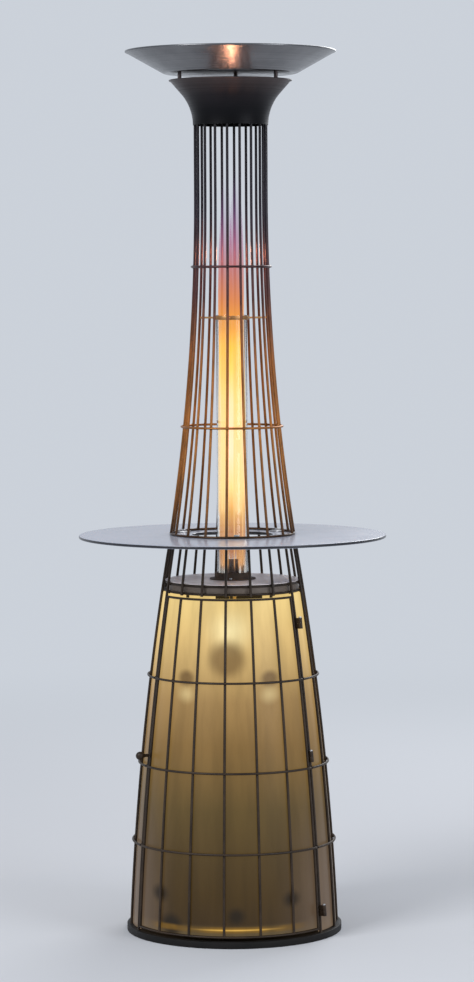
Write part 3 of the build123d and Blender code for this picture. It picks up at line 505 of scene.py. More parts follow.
def make_welds_tree():
    """Weld beads where rods meet a hoop."""
    sizes = {"Weld Radius": "Float", "Height": "Float", "Half Size": "Vector", "Aside": "Float"}
    tree, given, result = geometry_tree("weld_beads", {**sizes, **round_sizes})
    ball = node(tree, "GeometryNodeMeshUVSphere", {"Segments": 8, "Rings": 6, "Radius": 1.0})
    outward = maths(tree, "MULTIPLY", given["Weld Radius"], -1.0)
    place = node(tree, "ShaderNodeCombineXYZ", {"X": given["Aside"], "Y": outward, "Z": given["Height"]})
    values = {"Geometry": ball.outputs[0], "Translation": place.outputs[0], "Scale": given["Half Size"]}
    bead = node(tree, "GeometryNodeTransform", values).outputs[0]
    return end_tree(tree, given, result, round_the_axis(tree, given, bead))


def make_copies_tree():
    """Copies of the input shape round the axis."""
    tree, given, result = geometry_tree("copies_round_axis", round_sizes)
    return end_tree(tree, given, result, round_the_axis(tree, given, given["Geometry"]), smooth=False)


bars_tree = make_bars_tree()
hoop_tree = make_hoop_tree()
welds_tree = make_welds_tree()
copies_tree = make_copies_tree()


def grown(name, tree, finish, sizes, mesh=None):
    """Plain mesh object from a geometry tree with its sizes set."""
    piece = new_object(name, mesh or bpy.data.meshes.new(name))
    grower = piece.modifiers.new("grower", "NODES")
    grower.node_group = tree
    sizes = dict(sizes, Finish=finish)
    for socket in tree.interface.items_tree:
        if socket.in_out == "INPUT" and socket.name in sizes:
            grower[socket.identifier] = sizes[socket.name]
    finished(piece)
    piece.data.materials.clear()
    piece.data.materials.append(finish)
    return piece


def path_mesh(points):
    mesh = bpy.data.meshes.new("path")
    mesh.from_pydata(points, [(i, i + 1) for i in range(len(points) - 1)], [])
    return mesh


def placed(name, tree, finish, places, sizes, points=None):
    """One object for each place of a list, from a tree that repeats a shape round the axis."""
    made = []
    for first, pitch, count, aside in places:
        turns = {"Count": count, "First Bearing": first, "Pitch": pitch, "Aside": aside}
        mesh = path_mesh(points) if points else None
        made.append(grown(name, tree, finish, {**sizes, **turns}, mesh))
    return made


def bars(finish, points, places, radius=rod_radius):
    """Round bars along a path drawn at the front."""
    return placed("bars", bars_tree, finish, places, {"Bar Radius": radius, "Sides": bar_sides}, points)


def welds(finish, radius, height, places, half_size=weld_half_size):
    """Weld beads at a radius and height."""
    sizes = {"Weld Radius": radius, "Height": height, "Half Size": half_size}
    return placed("welds", welds_tree, finish, places, sizes)


def hoop(finish, radius, height, half_angle=math.pi, middle=0.0):
    """Hoop of round bar; a half angle under a half turn gives an arc about the middle bearing."""
    sizes = {"Hoop Radius": radius, "Height": height, "Bar Radius": hoop_radius, "Sides": bar_sides}
    sizes.update({"Closed": half_angle >= math.pi, "Sweep": 2 * half_angle, "Steps": hoop_steps})
    sizes["Start Angle"] = middle - half_angle - quarter_turn
    return grown("hoop", hoop_tree, finish, sizes)


def copies(shape, first, pitch, count):
    """Copies of an object round the axis, in its place."""
    sizes = {"Count": count, "First Bearing": first, "Pitch": pitch}
    made = grown(shape.name + "_set", copies_tree, shape.data.materials[0], sizes, shape.data)
    bpy.data.objects.remove(shape)
    return made


# Shader node groups
def shader_group(name, inputs, outputs):
    tree = bpy.data.node_groups.new(name, "ShaderNodeTree")
    for label, (kind, value) in inputs.items():
        socket = tree.interface.new_socket(label, in_out="INPUT", socket_type="NodeSocket" + kind)
        socket.default_value = value
    for label, kind in outputs.items():
        tree.interface.new_socket(label, in_out="OUTPUT", socket_type="NodeSocket" + kind)
    return tree, tree.nodes.new("NodeGroupInput").outputs, tree.nodes.new("NodeGroupOutput").inputs


def grouped(tree, group, values):
    return node(tree, "ShaderNodeGroup", values, node_tree=group).outputs


def times(tree, value, *others):
    for other in others:
        value = maths(tree, "MULTIPLY", value, other)
    return value


def off_level(tree, value, level):
    """Distance of a value from a level."""
    return maths(tree, "ABSOLUTE", maths(tree, "SUBTRACT", value, level))


def mixed(tree, factor, first, second, blend="MIX"):
    """Colour between two colours."""
    values = {0: factor, 6: first, 7: second}
    return node(tree, "ShaderNodeMix", values, data_type="RGBA", blend_type=blend).outputs[2]


def ranged(tree, value, low, high, to_low=0.0, to_high=1.0, smooth=True):
    """Value moved from one range to another and held inside it."""
    kind = "SMOOTHSTEP" if smooth else "LINEAR"
    values = {"Value": value, "From Min": low, "From Max": high, "To Min": to_low, "To Max": to_high}
    return node(tree, "ShaderNodeMapRange", values, interpolation_type=kind).outputs["Result"]


def fading(tree, value, near, far):
    """One up to near, falling to zero at far."""
    return ranged(tree, value, near, far, 1.0, 0.0)


def noise(tree, vector, scale, detail=3.0, roughness=0.55):
    values = {"Vector": vector, "Scale": scale, "Detail": detail, "Roughness": roughness}
    return node(tree, "ShaderNodeTexNoise", values).outputs["Fac"]


def object_place(tree):
    return node(tree, "ShaderNodeTexCoord").outputs["Object"]


def parts_of(tree, vector):
    return node(tree, "ShaderNodeSeparateXYZ", {0: vector}).outputs


def drawn_out(tree, share):
    """Object coordinates with the heights cut to a share, for streaks that run upwards."""
    return node(tree, "ShaderNodeMapping", {"Vector": object_place(tree), "Scale": (1, 1, share)}).outputs[0]


def vector_maths(tree, kind, first, second=(0, 0, 0)):
    return node(tree, "ShaderNodeVectorMath", {0: first, 1: second}, operation=kind).outputs


black, white = (0, 0, 0, 1), (1, 1, 1, 1)
dust_colour = (0.5, 0.48, 0.45, 1)
look_outputs = {"Colour": "Color", "Roughness": "Float", "Height": "Float"}


def make_coat_group():
    """Paint or coat: patches of two near colours, changing gloss, fine grain, pale dust on upward faces."""
    inputs = {
        "Dark": ("Color", black), "Light": ("Color", white), "Patch Scale": ("Float", 20.0),
        "Grain Scale": ("Float", 900.0), "Smooth": ("Float", 0.35), "Rough": ("Float", 0.55),
        "Dust": ("Float", 0.1),
    }
    tree, given, result = shader_group("coat", inputs, look_outputs)
    place = object_place(tree)
    patches = noise(tree, place, given["Patch Scale"], 5.0, 0.6)
    colour = mixed(tree, ranged(tree, patches, 0.3, 0.7), given["Dark"], given["Light"])
    facing = parts_of(tree, node(tree, "ShaderNodeNewGeometry").outputs["Normal"])
    lying = ranged(tree, facing["Z"], 0.5, 0.98)
    speck = ranged(tree, noise(tree, place, 55.0, 6.0, 0.7), 0.45, 0.75)
    dust = times(tree, lying, speck, given["Dust"])
    tree.links.new(mixed(tree, dust, colour, dust_colour), result["Colour"])
    tree.links.new(ranged(tree, patches, 0.3, 0.7, given["Smooth"], given["Rough"]), result["Roughness"])
    tree.links.new(noise(tree, place, given["Grain Scale"], 2.0, 0.5), result["Height"])
    return tree


def make_turned_group():
    """Spun or brushed metal: fine rings round the axis, with cloudy patches."""
    inputs = {
        "Dark": ("Color", black), "Light": ("Color", white), "Ring Scale": ("Float", 300.0),
        "Smooth": ("Float", 0.25), "Rough": ("Float", 0.45),
    }
    tree, given, result = shader_group("turned", inputs, look_outputs)
    place = object_place(tree)
    level = vector_maths(tree, "MULTIPLY", place, (1, 1, 0))[0]
    radius = vector_maths(tree, "LENGTH", level)["Value"]
    rings = node(tree, "ShaderNodeCombineXYZ", {"X": radius, "Y": parts_of(tree, place)["Z"]})
    fine = noise(tree, rings.outputs[0], given["Ring Scale"], 4.0, 0.65)
    clouds = noise(tree, place, 9.0, 4.0, 0.6)
    blend = maths(tree, "ADD", times(tree, fine, 0.55), times(tree, clouds, 0.45))
    colour = mixed(tree, ranged(tree, blend, 0.36, 0.64), given["Dark"], given["Light"])
    tree.links.new(colour, result["Colour"])
    tree.links.new(ranged(tree, blend, 0.36, 0.64, given["Rough"], given["Smooth"]), result["Roughness"])
    tree.links.new(fine, result["Height"])
    return tree


def make_mark_group():
    """Soft round mark for painted light and shade on the front of the diffuser, at an x and z place."""
    inputs = {"Place": ("Vector", (0, 0, 0)), "Size": ("Float", 0.05), "Soft": ("Float", 0.03)}
    tree, given, result = shader_group("soft_mark", inputs, {"Mask": "Float"})
    place = object_place(tree)
    flat = vector_maths(tree, "MULTIPLY", place, (1, 0, 1))[0]
    apart = vector_maths(tree, "DISTANCE", flat, given["Place"])["Value"]
    near = maths(tree, "SUBTRACT", given["Size"], given["Soft"])
    far = maths(tree, "ADD", given["Size"], given["Soft"])
    front = fading(tree, parts_of(tree, place)["Y"], -0.10, -0.02)
    tree.links.new(times(tree, fading(tree, apart, near, far), front), result["Mask"])
    return tree


coat_group = make_coat_group()
turned_group = make_turned_group()
mark_group = make_mark_group()


# Materials
def grey(level):
    return (level, level, level)


def surface(name, colour, metallic, roughness, **sockets):
    """New material with plain values on its shader."""
    made = bpy.data.materials.new(name)
    made.use_nodes = True
    shader = made.node_tree.nodes["Principled BSDF"]
    shader.inputs["Base Color"].default_value = (*colour, 1)
    shader.inputs["Metallic"].default_value = metallic
    shader.inputs["Roughness"].default_value = roughness
    for key, value in sockets.items():
        shader.inputs[key.replace("_", " ")].default_value = value
    return made, made.node_tree, shader


def bumped(tree, shader, height, strength, distance):
    values = {"Height": height, "Strength": strength, "Distance": distance}
    tree.links.new(node(tree, "ShaderNodeBump", values).outputs[0], shader.inputs["Normal"])


def dressed(name, group, values, metallic, bump, depth, tint, sockets):
    """New material from a group's colour, gloss and height; tint may change the colour."""
    made, tree, shader = surface(name, values["Dark"][:3], metallic, values["Rough"], **sockets)
    looks = grouped(tree, group, values)
    colour = tint(tree, looks["Colour"]) if tint else looks["Colour"]
    tree.links.new(colour, shader.inputs["Base Color"])
    tree.links.new(looks["Roughness"], shader.inputs["Roughness"])
    bumped(tree, shader, looks["Height"], bump, depth)
    return made


def coated(name, dark, light, smooth, rough, metallic=0.0, patch=20.0, grain=900.0, bump=0.15, dust=0.1,
           tint=None, **sockets):
    """Painted, moulded or cast surface."""
    values = {"Dark": (*dark, 1), "Light": (*light, 1), "Patch Scale": patch, "Grain Scale": grain}
    values.update({"Smooth": smooth, "Rough": rough, "Dust": dust})
    return dressed(name, coat_group, values, metallic, bump, coat_grain_depth, tint, sockets)


def spun_metal(name, dark, light, smooth, rough, rings=300.0, bump=0.2, metallic=1.0, tint=None):
    """Turned, spun or brushed metal."""
    values = {"Dark": (*dark, 1), "Light": (*light, 1), "Ring Scale": rings, "Smooth": smooth, "Rough": rough}
    return dressed(name, turned_group, values, metallic, bump, ring_grain_depth, tint, {})


def height_ramp(tree, stops):
    """Colours along the height; each stop is a height and a colour."""
    low, high = stops[0][0], stops[-1][0]
    share = ranged(tree, parts_of(tree, object_place(tree))["Z"], low, high, smooth=False)
    ramp = node(tree, "ShaderNodeValToRGB", {"Fac": share})
    points = ramp.color_ramp.elements
    while len(points) < len(stops):
        points.new(0.5)
    for point, (height, colour) in zip(points, stops):
        point.position = (height - low) / (high - low)
        point.color = (*colour, 1)
    return ramp.outputs["Color"]


def flame_light_tint(tree, colour):
    """Painted flame light and shade on the tower's rods: copper beside the flame, violet above it, dark at
    the top.
    """
    stops = [
        (table_top_height, (0.060, 0.032, 0.018)), (1.12, (0.235, 0.098, 0.030)),
        (1.30, (0.400, 0.160, 0.040)), (1.48, (0.310, 0.116, 0.034)), (1.66, (0.105, 0.044, 0.042)),
        (1.86, (0.030, 0.024, 0.034)), (2.12, (0.014, 0.013, 0.015)),
    ]
    return mixed(tree, 1.0, height_ramp(tree, stops), colour, "MULTIPLY")


def collar_tint(tree, colour):
    """Nearly black below, browner towards the rim."""
    stops = [
        (collar_bottom_height, (0.004, 0.004, 0.005)), (2.13, (0.008, 0.008, 0.010)),
        (2.17, (0.022, 0.019, 0.022)), (collar_bottom_height + collar_rise, (0.075, 0.060, 0.060)),
    ]
    return mixed(tree, 1.0, height_ramp(tree, stops), colour, "MULTIPLY")


def painted_edge_shade(tree, colour):
    """Painted shade: a dark band round the middle of the table's edges, between its two pale faces."""
    middle = (table_bottom_height + table_top_height) / 2
    off_middle = off_level(tree, parts_of(tree, object_place(tree))["Z"], middle)
    return mixed(tree, fading(tree, off_middle, 0.0026, 0.0034), colour, (0.020, 0.021, 0.027, 1))


def make_diffuser_finish():
    """Cream acrylic lit from inside, its light painted on as a glow: bright at the top, browner below, with
    painted light and shadows of the lamps showing through.
    """
    made, tree, shader = surface("lit_acrylic", (0.3, 0.24, 0.12), metallic=0.0, roughness=0.36,
                                 Emission_Strength=1.0, Specular_IOR_Level=0.22)
    lit = height_ramp(tree, [
        (diffuser_bottom_height, (0.115, 0.085, 0.050)), (0.034, (0.100, 0.068, 0.028)),
        (0.060, (0.045, 0.026, 0.008)), (0.130, (0.055, 0.032, 0.008)), (0.210, (0.067, 0.041, 0.012)),
        (0.345, (0.104, 0.067, 0.020)), (0.510, (0.216, 0.128, 0.040)), (0.620, (0.325, 0.200, 0.072)),
        (0.780, (0.645, 0.445, 0.170)), (diffuser_top_height, (0.790, 0.580, 0.225)),
    ])
    place = parts_of(tree, object_place(tree))
    # Painted shade of the bottle: low down, the sides are lighter than the middle.
    low = fading(tree, place["Z"], 0.10, 0.50)
    flank = times(tree, ranged(tree, off_level(tree, place["X"], 0.0), 0.12, 0.24, 0.0, 0.6), low)
    lit = mixed(tree, flank, lit, (0.150, 0.104, 0.072, 1))

    # Painted light and shadows of the lamps, and painted shadows of the stops, seen through the panel:
    # colour, amount, x, z, size and softness of each mark
    cream, shade = (1.0, 0.86, 0.46, 1), (0.165, 0.095, 0.032, 1)
    lamp_glow, painted_shadow = (0.66, 0.50, 0.23, 1), (0.018, 0.012, 0.006, 1)
    marks = [(cream, 0.85, 0.012, 0.803, 0.030, 0.048), (shade, 0.78, 0.004, 0.730, 0.044, 0.020)]
    for x in (-0.102, 0.111):
        marks += [(shade, 0.88, x, 0.680, 0.019, 0.010), (lamp_glow, 0.75, x, 0.640, 0.015, 0.017)]
    stops = ((-0.171, 0.127, 0.018), (0.167, 0.116, 0.016), (0.031, 0.079, 0.019), (-0.140, 0.050, 0.026))
    marks += [(painted_shadow, 0.95, x, z, size, 0.013) for x, z, size in stops]
    for colour, amount, x, z, size, soft in marks:
        mask = grouped(tree, mark_group, {"Place": (x, 0, z), "Size": size, "Soft": soft})["Mask"]
        lit = mixed(tree, times(tree, mask, amount), lit, colour)

    # Painted light: a golden band low on the front, with a thin bright line in its middle
    off_band = off_level(tree, place["Z"], 0.045)
    front = fading(tree, place["Y"], -0.245, -0.150)
    patchy = ranged(tree, noise(tree, object_place(tree), 14.0, 2.0), 0.35, 0.65, 0.35, 1.0)
    band = times(tree, fading(tree, off_band, 0.003, 0.011), front, patchy, 0.8)
    lit = mixed(tree, band, lit, (0.22, 0.115, 0.014, 1))
    near_middle = fading(tree, off_level(tree, place["X"], 0.030), 0.015, 0.14)
    line = times(tree, fading(tree, off_band, 0.0006, 0.0032), near_middle, front)
    lit = mixed(tree, line, lit, (0.62, 0.36, 0.07, 1))

    cloud = ranged(tree, noise(tree, drawn_out(tree, 0.12), 22.0, 4.0), 0.3, 0.7, 0.86, 1.08)
    tone = node(tree, "ShaderNodeCombineXYZ", {"X": cloud, "Y": cloud, "Z": cloud}).outputs[0]
    lit = mixed(tree, 1.0, lit, tone, "MULTIPLY")
    tree.links.new(lit, shader.inputs["Emission Color"])
    tree.links.new(mixed(tree, 0.90, lit, black), shader.inputs["Base Color"])
    bumped(tree, shader, noise(tree, object_place(tree), 260.0, 2.0), 0.04, 0.0004)
    return made


def make_glass_finish():
    """Clear tube, faintly brown at its foot, with smears."""
    made, tree, shader = surface("tube_glass", (0.97, 0.985, 0.98), metallic=0.0, roughness=0.02,
                                 Transmission_Weight=1.0, IOR=1.47)
    stops = [(0.93, (0.93, 0.90, 0.84)), (1.08, (0.985, 0.985, 0.975)), (1.61, (0.98, 0.99, 0.985))]
    tree.links.new(height_ramp(tree, stops), shader.inputs["Base Color"])
    smear = ranged(tree, noise(tree, object_place(tree), 18.0, 4.0), 0.5, 0.8, 0.0, 0.07)
    tree.links.new(smear, shader.inputs["Roughness"])
    return made


def make_flame_finish(name, density, tip_share, stops):
    """Flame with colours by height; the piece's own map fades its sides, its start and its tip."""
    made, tree, shader = surface(name, grey(0.0), metallic=0.0, roughness=1.0, Emission_Strength=2.0,
                                 Specular_IOR_Level=0.0)
    tree.links.new(height_ramp(tree, stops), shader.inputs["Emission Color"])
    across = parts_of(tree, node(tree, "ShaderNodeUVMap", uv_map="flame_map").outputs[0])
    edge = fading(tree, off_level(tree, across["X"], 0.5), 0.22, 0.5)
    start = ranged(tree, across["Y"], 0.0, 0.05)
    tip = fading(tree, across["Y"], tip_share, 1.0)
    streaks = ranged(tree, noise(tree, drawn_out(tree, 0.05), 85.0, 3.0), 0.30, 0.70, 0.62, 1.0)
    tree.links.new(times(tree, edge, start, tip, streaks, density), shader.inputs["Alpha"])
    return made


def make_opal_finish():
    """Lit white glass of the lamps."""
    made, tree, shader = surface("opal_glass", (0.9, 0.82, 0.62), metallic=0.0, roughness=0.25,
                                 Emission_Strength=1.0)
    cloud = ranged(tree, noise(tree, object_place(tree), 40.0), 0.3, 0.7)
    warm = mixed(tree, cloud, (0.95, 0.72, 0.36, 1), (1.0, 0.80, 0.46, 1))
    tree.links.new(warm, shader.inputs["Emission Color"])
    return made


cage_finish = coated("cage_coat", (0.020, 0.012, 0.007), (0.042, 0.026, 0.015), smooth=0.40, rough=0.58,
                     metallic=0.25, patch=14.0, grain=1400.0, bump=0.12, dust=0.05, Specular_IOR_Level=0.35)
# The tower's rods get painted flame light and shade from their tint.
tower_finish = coated("flame_lit_tower_coat", grey(0.55), grey(1.0), smooth=0.30, rough=0.48, metallic=0.80,
                      patch=16.0, grain=1400.0, bump=0.12, dust=0.0, tint=flame_light_tint)
# The table's edges get a band of painted shade from their tint.
table_finish = coated("table_laminate", (0.370, 0.396, 0.482), (0.396, 0.422, 0.508), smooth=0.20,
                      rough=0.27, patch=4.0, grain=1600.0, bump=0.04, dust=0.015, tint=painted_edge_shade,
                      Specular_IOR_Level=0.38)
base_finish = coated("base_paint", (0.005, 0.005, 0.005), (0.009, 0.008, 0.008), smooth=0.45, rough=0.62,
                     patch=12.0, dust=0.03, Specular_IOR_Level=0.2)
burner_finish = coated("burner_iron", (0.06, 0.042, 0.032), (0.15, 0.10, 0.07), smooth=0.55, rough=0.8,
                       metallic=0.5, patch=60.0, grain=700.0, bump=0.5, dust=0.0)
copper_finish = coated("drawn_copper", (0.52, 0.22, 0.12), (0.72, 0.36, 0.22), smooth=0.25, rough=0.4,
                       metallic=1.0, patch=40.0, bump=0.05, dust=0.0)
casting_finish = coated("die_casting", (0.42, 0.42, 0.43), (0.58, 0.58, 0.59), smooth=0.38, rough=0.55,
                        metallic=0.9, patch=50.0, grain=600.0, bump=0.35)
ceramic_finish = coated("white_ceramic", (0.72, 0.70, 0.64), (0.86, 0.84, 0.79), smooth=0.2, rough=0.35,
                        patch=90.0, bump=0.05)
sooted_finish = coated("sooted_ceramic", (0.22, 0.17, 0.13), (0.42, 0.35, 0.28), smooth=0.35, rough=0.55,
                       patch=90.0, bump=0.05)
ferrite_finish = coated("ferrite", (0.030, 0.030, 0.033), (0.060, 0.060, 0.064), smooth=0.5, rough=0.7,
                        patch=120.0, bump=0.3)
# Dark brown of the sheet under the deck's edge: painted shade for the gap between the deck and the rim hoop.
gap_shade_finish = coated("gap_shade_enamel", (0.115, 0.086, 0.066), (0.175, 0.136, 0.106), smooth=0.45, rough=0.62,
                      patch=14.0)
tray_finish = coated("tray_paint", (0.022, 0.022, 0.024), (0.042, 0.042, 0.044), smooth=0.4, rough=0.6,
                     patch=16.0, bump=0.2)
plastic_finish = coated("black_plastic", (0.014, 0.014, 0.015), (0.024, 0.024, 0.025), smooth=0.42,
                        rough=0.55, patch=60.0, bump=0.3)
button_finish = coated("red_plastic", (0.36, 0.018, 0.012), (0.48, 0.030, 0.020), smooth=0.22, rough=0.34,
                       patch=50.0, bump=0.05)
bottle_finish = coated("bottle_enamel", (0.30, 0.33, 0.36), (0.42, 0.44, 0.46), smooth=0.30, rough=0.48,
                       patch=11.0, bump=0.12)
wheel_finish = coated("wheel_plastic", grey(0.022), grey(0.040), smooth=0.45, rough=0.6, patch=70.0,
                      bump=0.25)
rubber_finish = coated("black_rubber", grey(0.014), grey(0.028), smooth=0.6, rough=0.8, patch=40.0,
                       bump=0.3)
lamp_finish = coated("lamp_paint", grey(0.020), (0.038, 0.037, 0.036), smooth=0.5, rough=0.65, patch=40.0,
                     bump=0.2)
collar_finish = spun_metal("collar_steel", grey(0.7), grey(1.0), smooth=0.34, rough=0.5, rings=420.0,
                           bump=0.15, metallic=0.85, tint=collar_tint)
dish_finish = spun_metal("dish_steel", (0.125, 0.127, 0.135), (0.205, 0.207, 0.215), smooth=0.17,
                         rough=0.28, rings=380.0, bump=0.12)
deck_finish = spun_metal("deck_steel", (0.80, 0.72, 0.70), (0.93, 0.86, 0.84), smooth=0.36, rough=0.52,
                         metallic=0.3)
steel_finish = spun_metal("plated_steel", (0.46, 0.46, 0.47), (0.66, 0.66, 0.67), smooth=0.22, rough=0.38,
                          rings=700.0, bump=0.1)
brass_finish = spun_metal("turned_brass", (0.50, 0.34, 0.13), (0.74, 0.55, 0.26), smooth=0.24, rough=0.42,
                          rings=600.0, bump=0.1)
hot_steel_finish = spun_metal("straw_tinted_steel", (0.34, 0.17, 0.07), (0.58, 0.33, 0.14), smooth=0.26,
                              rough=0.42, rings=500.0)
diffuser_finish = make_diffuser_finish()
glass_finish = make_glass_finish()
opal_finish = make_opal_finish()
flame_sheet_finish = make_flame_finish("flame_sheet", density=0.92, tip_share=0.62, stops=[
    (0.94, (0.34, 0.15, 0.05)), (1.00, (0.46, 0.25, 0.09)), (1.05, (0.54, 0.32, 0.14)),
    (1.15, (0.58, 0.41, 0.16)), (1.28, (0.60, 0.42, 0.15)), (1.41, (0.55, 0.375, 0.085)),
    (1.47, (0.52, 0.290, 0.060)), (1.62, (0.46, 0.185, 0.065)),
])
flame_core_finish = make_flame_finish("flame_core", density=0.97, tip_share=0.60, stops=[
    (0.96, (0.22, 0.085, 0.035)), (1.045, (0.28, 0.125, 0.055)), (1.10, (0.45, 0.23, 0.055)),
    (1.16, (0.85, 0.44, 0.16)), (1.25, (1.0, 0.49, 0.31)), (1.38, (1.0, 0.47, 0.245)),
    (1.46, (0.90, 0.41, 0.08)), (1.52, (0.70, 0.335, 0.036)), (1.57, (0.50, 0.205, 0.026)),
    (1.645, (0.38, 0.130, 0.048)), (1.72, (0.29, 0.098, 0.088)), (1.80, (0.21, 0.074, 0.142)),
    (1.87, (0.15, 0.066, 0.165)), (1.99, (0.09, 0.060, 0.165)),
])


# Lower cage and door: bowed rods, bent hoops and their welds
def cage_path(bottom, top, count=28):
    return [(0, -cage_radius(z), z) for z in spread(bottom, top, count)]


def outer_hoop(height, middle, half_angle, places):
    """Arc of a hoop outside the rods, with its welds."""
    radius = cage_radius(height) + hoop_out
    arc = hoop(cage_finish, radius, height, half_angle - hoop_end_aside / radius, middle)
    return [arc] + welds(cage_finish, cage_radius(height) + rod_radius, height, places)


def make_lower_cage():
    rods = bars(cage_finish, cage_path(rod_foot_height, rod_head_height), frame_places)
    rods += bars(cage_finish, cage_path(neck_rod_foot, rod_head_height, 8), front_places)
    foot_height = base_ring_height + foot_weld_rise
    rods += welds(cage_finish, cage_foot.x, foot_height, frame_places, foot_weld_half_size)
    settle(joined("lower_cage_rods", rods), "frame", "cage_steel", "cage_rods", "neck_rods")

    hoops = []
    for height in cage_hoop_heights:
        hoops += outer_hoop(height, rear, math.pi - door_half_angle, frame_places)
    for height in (rim_hoop_height, deck_hoop_height):
        hoops.append(hoop(cage_finish, cage_radius(height) - hoop_out, height))
        hoops += welds(cage_finish, cage_radius(height) - rod_radius, height, all_places)
    hoops.append(hoop(cage_finish, cage_head.x, table_hoop_height))
    hoops += welds(cage_finish, cage_head.x, rod_head_height, all_places)
    settle(joined("lower_cage_hoops", hoops), "frame", "cage_steel", "cage_hoops", "neck_hoops", "table_hoop")


def make_door_cage():
    rod_foot = door_bottom_rail_height + hoop_radius
    rod_head = door_top_rail_height - hoop_radius
    rods = bars(cage_finish, cage_path(rod_foot, rod_head), door_places)
    settle(joined("door_cage_rods", rods), "door", "cage_steel", "door_rods")

    hoops = []
    for height in cage_hoop_heights:
        hoops += outer_hoop(height, 0.0, door_half_angle, door_places)
    for height, rod_end in ((door_bottom_rail_height, rod_foot), (door_top_rail_height, rod_head)):
        radius = cage_radius(height)
        hoops.append(hoop(cage_finish, radius, height, door_half_angle - hoop_end_aside / radius))
        hoops += welds(cage_finish, radius, rod_end, front_places)
    settle(joined("door_cage_hoops", hoops), "door", "cage_steel", "door_hoops", "door_rails")


def make_door_pull():
    outline = [(0, 0), (0.0062, 0), (0.0062, 0.0012), (0.0042, 0.0026), (0.0040, 0.012), (0.0052, 0.0150)]
    outline += [(pull_ball_radius * math.sin(a), pull_ball_reach - pull_ball_radius * math.cos(a))
                for a in spread(0.62, math.pi, 14)]
    reach = cage_radius(pull_height) + rod_radius
    on_rod = Matrix.Translation((door_rod_aside, -reach, pull_height)) @ Matrix.Rotation(quarter_turn, 4, "X")
    place = Matrix.Rotation(-door_half_angle, 4, "Z") @ on_rod
    pull = lathe("door_pull", outline, cage_finish, steps=40, closed=False, place=place)
    settle(pull, "door", "knob_metal", "door_knob")


# Tower
def make_tower_cage():
    rod_foot = table_top_height + 2 * hoop_radius
    path = [(0, -tower_radius(z), z) for z in spread(rod_foot, tower_rod_top, 40)]
    rods = bars(tower_finish, path, all_places)
    settle(joined("tower_cage_rods", rods), "frame", "tower_steel", "tower_rods")
    hoops = [hoop(tower_finish, tower_foot_radius, table_top_height + hoop_radius)]
    hoops += welds(tower_finish, tower_foot_radius, rod_foot, all_places)
    for height in tower_hoop_heights:
        hoops.append(hoop(tower_finish, tower_radius(height) + hoop_out, height))
        hoops += welds(tower_finish, tower_radius(height) + rod_radius, height, all_places)
    hoops.append(hoop(tower_finish, tower_head_radius - hoop_out, tower_ring_height))
    hoops += welds(tower_finish, tower_head_radius - rod_radius, tower_ring_height, all_places)
    names = ("tower_base_hoop", "tower_hoops", "tower_top_ring")
    settle(joined("tower_cage_hoops", hoops), "frame", "tower_steel", *names)


# Diffuser
def shell(name, rows, columns_at, keep, body, solid):
    """Curved sheet on the lower cage's bow from rows of heights and columns of bearings."""
    bm = bmesh.new()
    grid = []
    for height in rows:
        radius = cage_radius(height, diffuser_inset)
        grid.append([bm.verts.new(spot(radius, bearing, height)) for bearing in columns_at(height)])
    for i in range(len(rows) - 1):
        for j in range(len(grid[0]) - 1):
            if keep(i, j):
                bm.faces.new((grid[i][j], grid[i][j + 1], grid[i + 1][j + 1], grid[i + 1][j]))
    loose = [vert for vert in bm.verts if not vert.link_faces]
    bmesh.ops.delete(bm, geom=loose, context="VERTS")
    piece = built(name, bm, diffuser_finish)
    wall = piece.modifiers.new("wall", "SOLIDIFY")
    wall.thickness = diffuser_thickness
    wall.offset = -1.0
    shaded(finished(piece).data)
    settle(piece, body, "diffuser_acrylic", solid)


def make_diffuser():
    edge_shift = panel_edge_aside / cage_radius(rim_hoop_height)
    door_rows = spread(door_bottom_rail_height + hoop_radius, door_top_rail_height + hoop_radius, 40)
    door_columns = spread(-door_half_angle + edge_shift, door_half_angle - edge_shift, 61)
    shell("diffuser_door_panel", door_rows, lambda z: door_columns, lambda i, j: True, "door", "door_panel")

    rows = spread(diffuser_bottom_height, window_bottom, 34)[:-1] + spread(window_bottom, window_top, 7)
    rows += [(window_top + diffuser_top_height) / 2, diffuser_top_height]
    rear_edge = door_half_angle + edge_shift
    side_count, window_count = 44, 9

    def columns(height):
        corner = math.asin(window_half_width / cage_radius(height, diffuser_inset))
        left = spread(rear_edge, rear - corner, side_count)
        middle = spread(rear - corner, rear + corner, window_count)
        right = spread(rear + corner, 2 * math.pi - rear_edge, side_count)
        return left + middle[1:-1] + right

    def keep(i, j):
        in_height = window_bottom < (rows[i] + rows[i + 1]) / 2 < window_top
        in_width = side_count - 1 <= j < side_count + window_count - 2
        return not (in_height and in_width)

    shell("diffuser_rear_shell", rows, columns, keep, "frame", "rear_diffuser")


